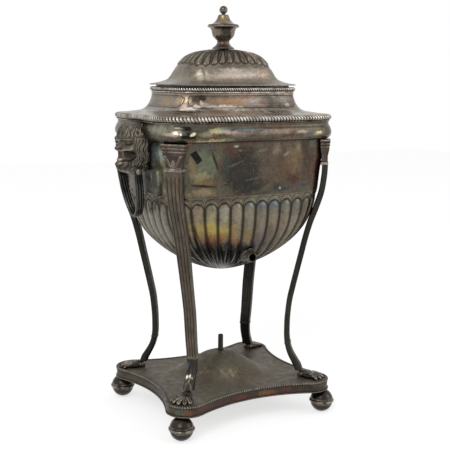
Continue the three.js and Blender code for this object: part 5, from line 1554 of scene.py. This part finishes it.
fascia_paint = painted("fascia_copper", fascia_tones, 0.7, 0.36, 0.56, 110, FASCIA_STAINS,
                       crease=((24, 21, 18), 0.85))
plinth_paint = painted("plinth_plate", [(72, 67, 55), (94, 88, 73), (86, 77, 63), (102, 96, 80)], 0.5, 0.44,
                       0.66, 60, PLATE_STAINS, crease=((34, 30, 25), 0.85))
gold_paint = painted("cover_plate", [(84, 78, 70), (108, 101, 91), (122, 112, 98), (96, 88, 78)], 0.88, 0.22,
                     0.4, 120, COVER_STAINS)
steel_paint = painted("iron", [(52, 47, 42), (76, 70, 64), (90, 84, 78), (60, 53, 47)], 0.9, 0.36, 0.58)
# The solder's crease colour paints the inside of the bore almost black, as painted shade.
socket_paint = painted("solder", [(30, 27, 24), (60, 55, 48), (100, 93, 82), (44, 40, 35)], 0.7, 0.36, 0.58,
                       220, bump=0.5, crease=((5, 4, 4), 1.0))

# The urn.

build_bowl(bowl_paint)
build_band(band_paint)
build_rope_rim("shoulder_rim", RIM, shoulder_foot, SHOULDER_RIM_H, SHOULDER_RIM_T, 1.1, 182, rope_paint)
build_rope_rim("neck_rim", NECK_RIM, neck_rim_foot, NECK_RIM_H, NECK_RIM_T, 1.9, 156, rope_paint)
build_neck(neck_paint)
build_lid(lid_paint)
mouth = grown(NECK_RIM, -6, 0)[:3]
ledge_top = bezel_foot - FIT
build_strip("lid_bezel", mouth, -0.6, -2.1, bezel_foot, lid_foot - FIT, 0.3, dark_paint, "lid")
build_strip("lid_ledge", NECK, -2.1, -7.1, ledge_top - LEDGE_T, ledge_top, 0.5, pale, "urn")
build_finial(lid_paint, knob_paint, gold_paint)
build_socket(socket_paint)
form = paw_form()
for corner, (cx, cy) in CORNERS.items():
    # Only the front left leg, towards the key lamp, takes the lit leg finish; the others take its
    # painted-shade copy.
    build_leg(corner, cx, cy, leg_paint if corner == "front_left" else shaded_leg_paint)
    build_capital(corner, cx, cy, cast_paint)
    build_paw(corner, cx, cy, form, paw_paint)
build_plinth(wire_paint, fascia_paint, plinth_paint)
build_feet(bronze_paint, steel_paint)
build_small_parts(shaded_leg_paint, steel_paint)
for side, turn in (("right", 0.0), ("left", math.pi)):
    build_mask(side, turn, mask_paint)
    build_bail(side, turn, dark_paint)
    build_bail_pin(side, turn, pin_paint)

# Floor, light and camera.

FLOOR_HALF = 3
FLOOR_DROP = 0.0005
FLOOR_GLOW = 0.66
WORLD_DIM = 0.55


def seen_directly(tree):
    """1 for what the camera or a mirrored ray sees, 0 for the light that falls on things."""
    rays = tree.nodes.new("ShaderNodeLightPath")
    seen = tree.nodes.new("ShaderNodeMath")
    seen.operation = "MAXIMUM"
    tree.links.new(rays.outputs["Is Camera Ray"], seen.inputs[0])
    tree.links.new(rays.outputs["Is Glossy Ray"], seen.inputs[1])
    return seen.outputs[0]


floor_mesh = bpy.data.meshes.new("floor")
corner_signs = ((-1, -1), (1, -1), (1, 1), (-1, 1))
floor_corners = [(x * FLOOR_HALF, y * FLOOR_HALF, -FLOOR_DROP) for x, y in corner_signs]
floor_mesh.from_pydata(floor_corners, [], [(0, 1, 2, 3)])
floor = bpy.data.objects.new("floor", floor_mesh)
bpy.context.scene.collection.objects.link(floor)
floor_material = bpy.data.materials.new("floor")
floor_material.use_nodes = True
tree = floor_material.node_tree
shader = tree.nodes["Principled BSDF"]
shader.inputs["Base Color"].default_value = (0.55, 0.55, 0.55, 1)
shader.inputs["Roughness"].default_value = 1.0
shader.inputs["Specular IOR Level"].default_value = 0.0
glow = tree.nodes.new("ShaderNodeMath")
glow.operation = "MULTIPLY"
glow.inputs[1].default_value = FLOOR_GLOW
tree.links.new(seen_directly(tree), glow.inputs[0])
shader.inputs["Emission Color"].default_value = (1, 1, 1, 1)
tree.links.new(glow.outputs[0], shader.inputs["Emission Strength"])
floor_mesh.materials.append(floor_material)

world = bpy.data.worlds.new("studio")
bpy.context.scene.world = world
world.use_nodes = True
tree = world.node_tree
background = tree.nodes["Background"]
background.inputs["Color"].default_value = (1, 1, 1, 1)
level = tree.nodes.new("ShaderNodeMapRange")
level.inputs["To Min"].default_value = WORLD_DIM
level.inputs["To Max"].default_value = 1.0
tree.links.new(seen_directly(tree), level.inputs["Value"])
tree.links.new(level.outputs["Result"], background.inputs["Strength"])


def soft_light(name, place, aim, size, watts):
    data = bpy.data.lights.new(name, "AREA")
    data.shape = "RECTANGLE"
    data.size, data.size_y = size
    data.energy = watts
    lamp = bpy.data.objects.new(name, data)
    lamp.location = place
    lamp.rotation_euler = (Vector(aim) - Vector(place)).to_track_quat("-Z", "Y").to_euler()
    bpy.context.scene.collection.objects.link(lamp)


soft_light("key", (-1.7, -1.5, 1.9), (0, 0, 0.25), (1.2, 1.2), 26)
soft_light("fill", (1.6, -1.3, 0.9), (0, 0, 0.25), (1.2, 1.4), 10)

# The camera as fitted to the photograph: angles in radians, places in metres, and the lens in pixels of it.

VIEW_ANGLE = math.radians(-29.71)
PITCH = math.radians(9.91)
ROLL = math.radians(0.51)
CAMERA_REACH = 1.11661
CAMERA_HEIGHT = 0.42255
PHOTO_WIDTH = 450
FOCAL_LENGTH = 903.65
LENS_X = 221.56
LENS_Y = 229.65
SENSOR_WIDTH = 36

aside, ahead = math.sin(VIEW_ANGLE), math.cos(VIEW_ANGLE)
forward = Vector((-aside * math.cos(PITCH), ahead * math.cos(PITCH), -math.sin(PITCH)))
level_right = Vector((ahead, aside, 0))
level_up = level_right.cross(forward)
right = level_right * math.cos(ROLL) + level_up * math.sin(ROLL)
up = level_up * math.cos(ROLL) - level_right * math.sin(ROLL)
camera_data = bpy.data.cameras.new("camera")
camera = bpy.data.objects.new("camera", camera_data)
bpy.context.scene.collection.objects.link(camera)
standpoint = Matrix.Translation((aside * CAMERA_REACH, -ahead * CAMERA_REACH, CAMERA_HEIGHT))
camera.matrix_world = standpoint @ Matrix((right, up, -forward)).transposed().to_4x4()
camera_data.sensor_width = SENSOR_WIDTH
camera_data.lens = SENSOR_WIDTH * FOCAL_LENGTH / PHOTO_WIDTH
camera_data.shift_x = (PHOTO_WIDTH / 2 - LENS_X) / PHOTO_WIDTH
camera_data.shift_y = (LENS_Y - PHOTO_WIDTH / 2) / PHOTO_WIDTH
camera_data.clip_end = 30
bpy.context.scene.camera = camera
bpy.context.scene.view_settings.view_transform = "Standard"
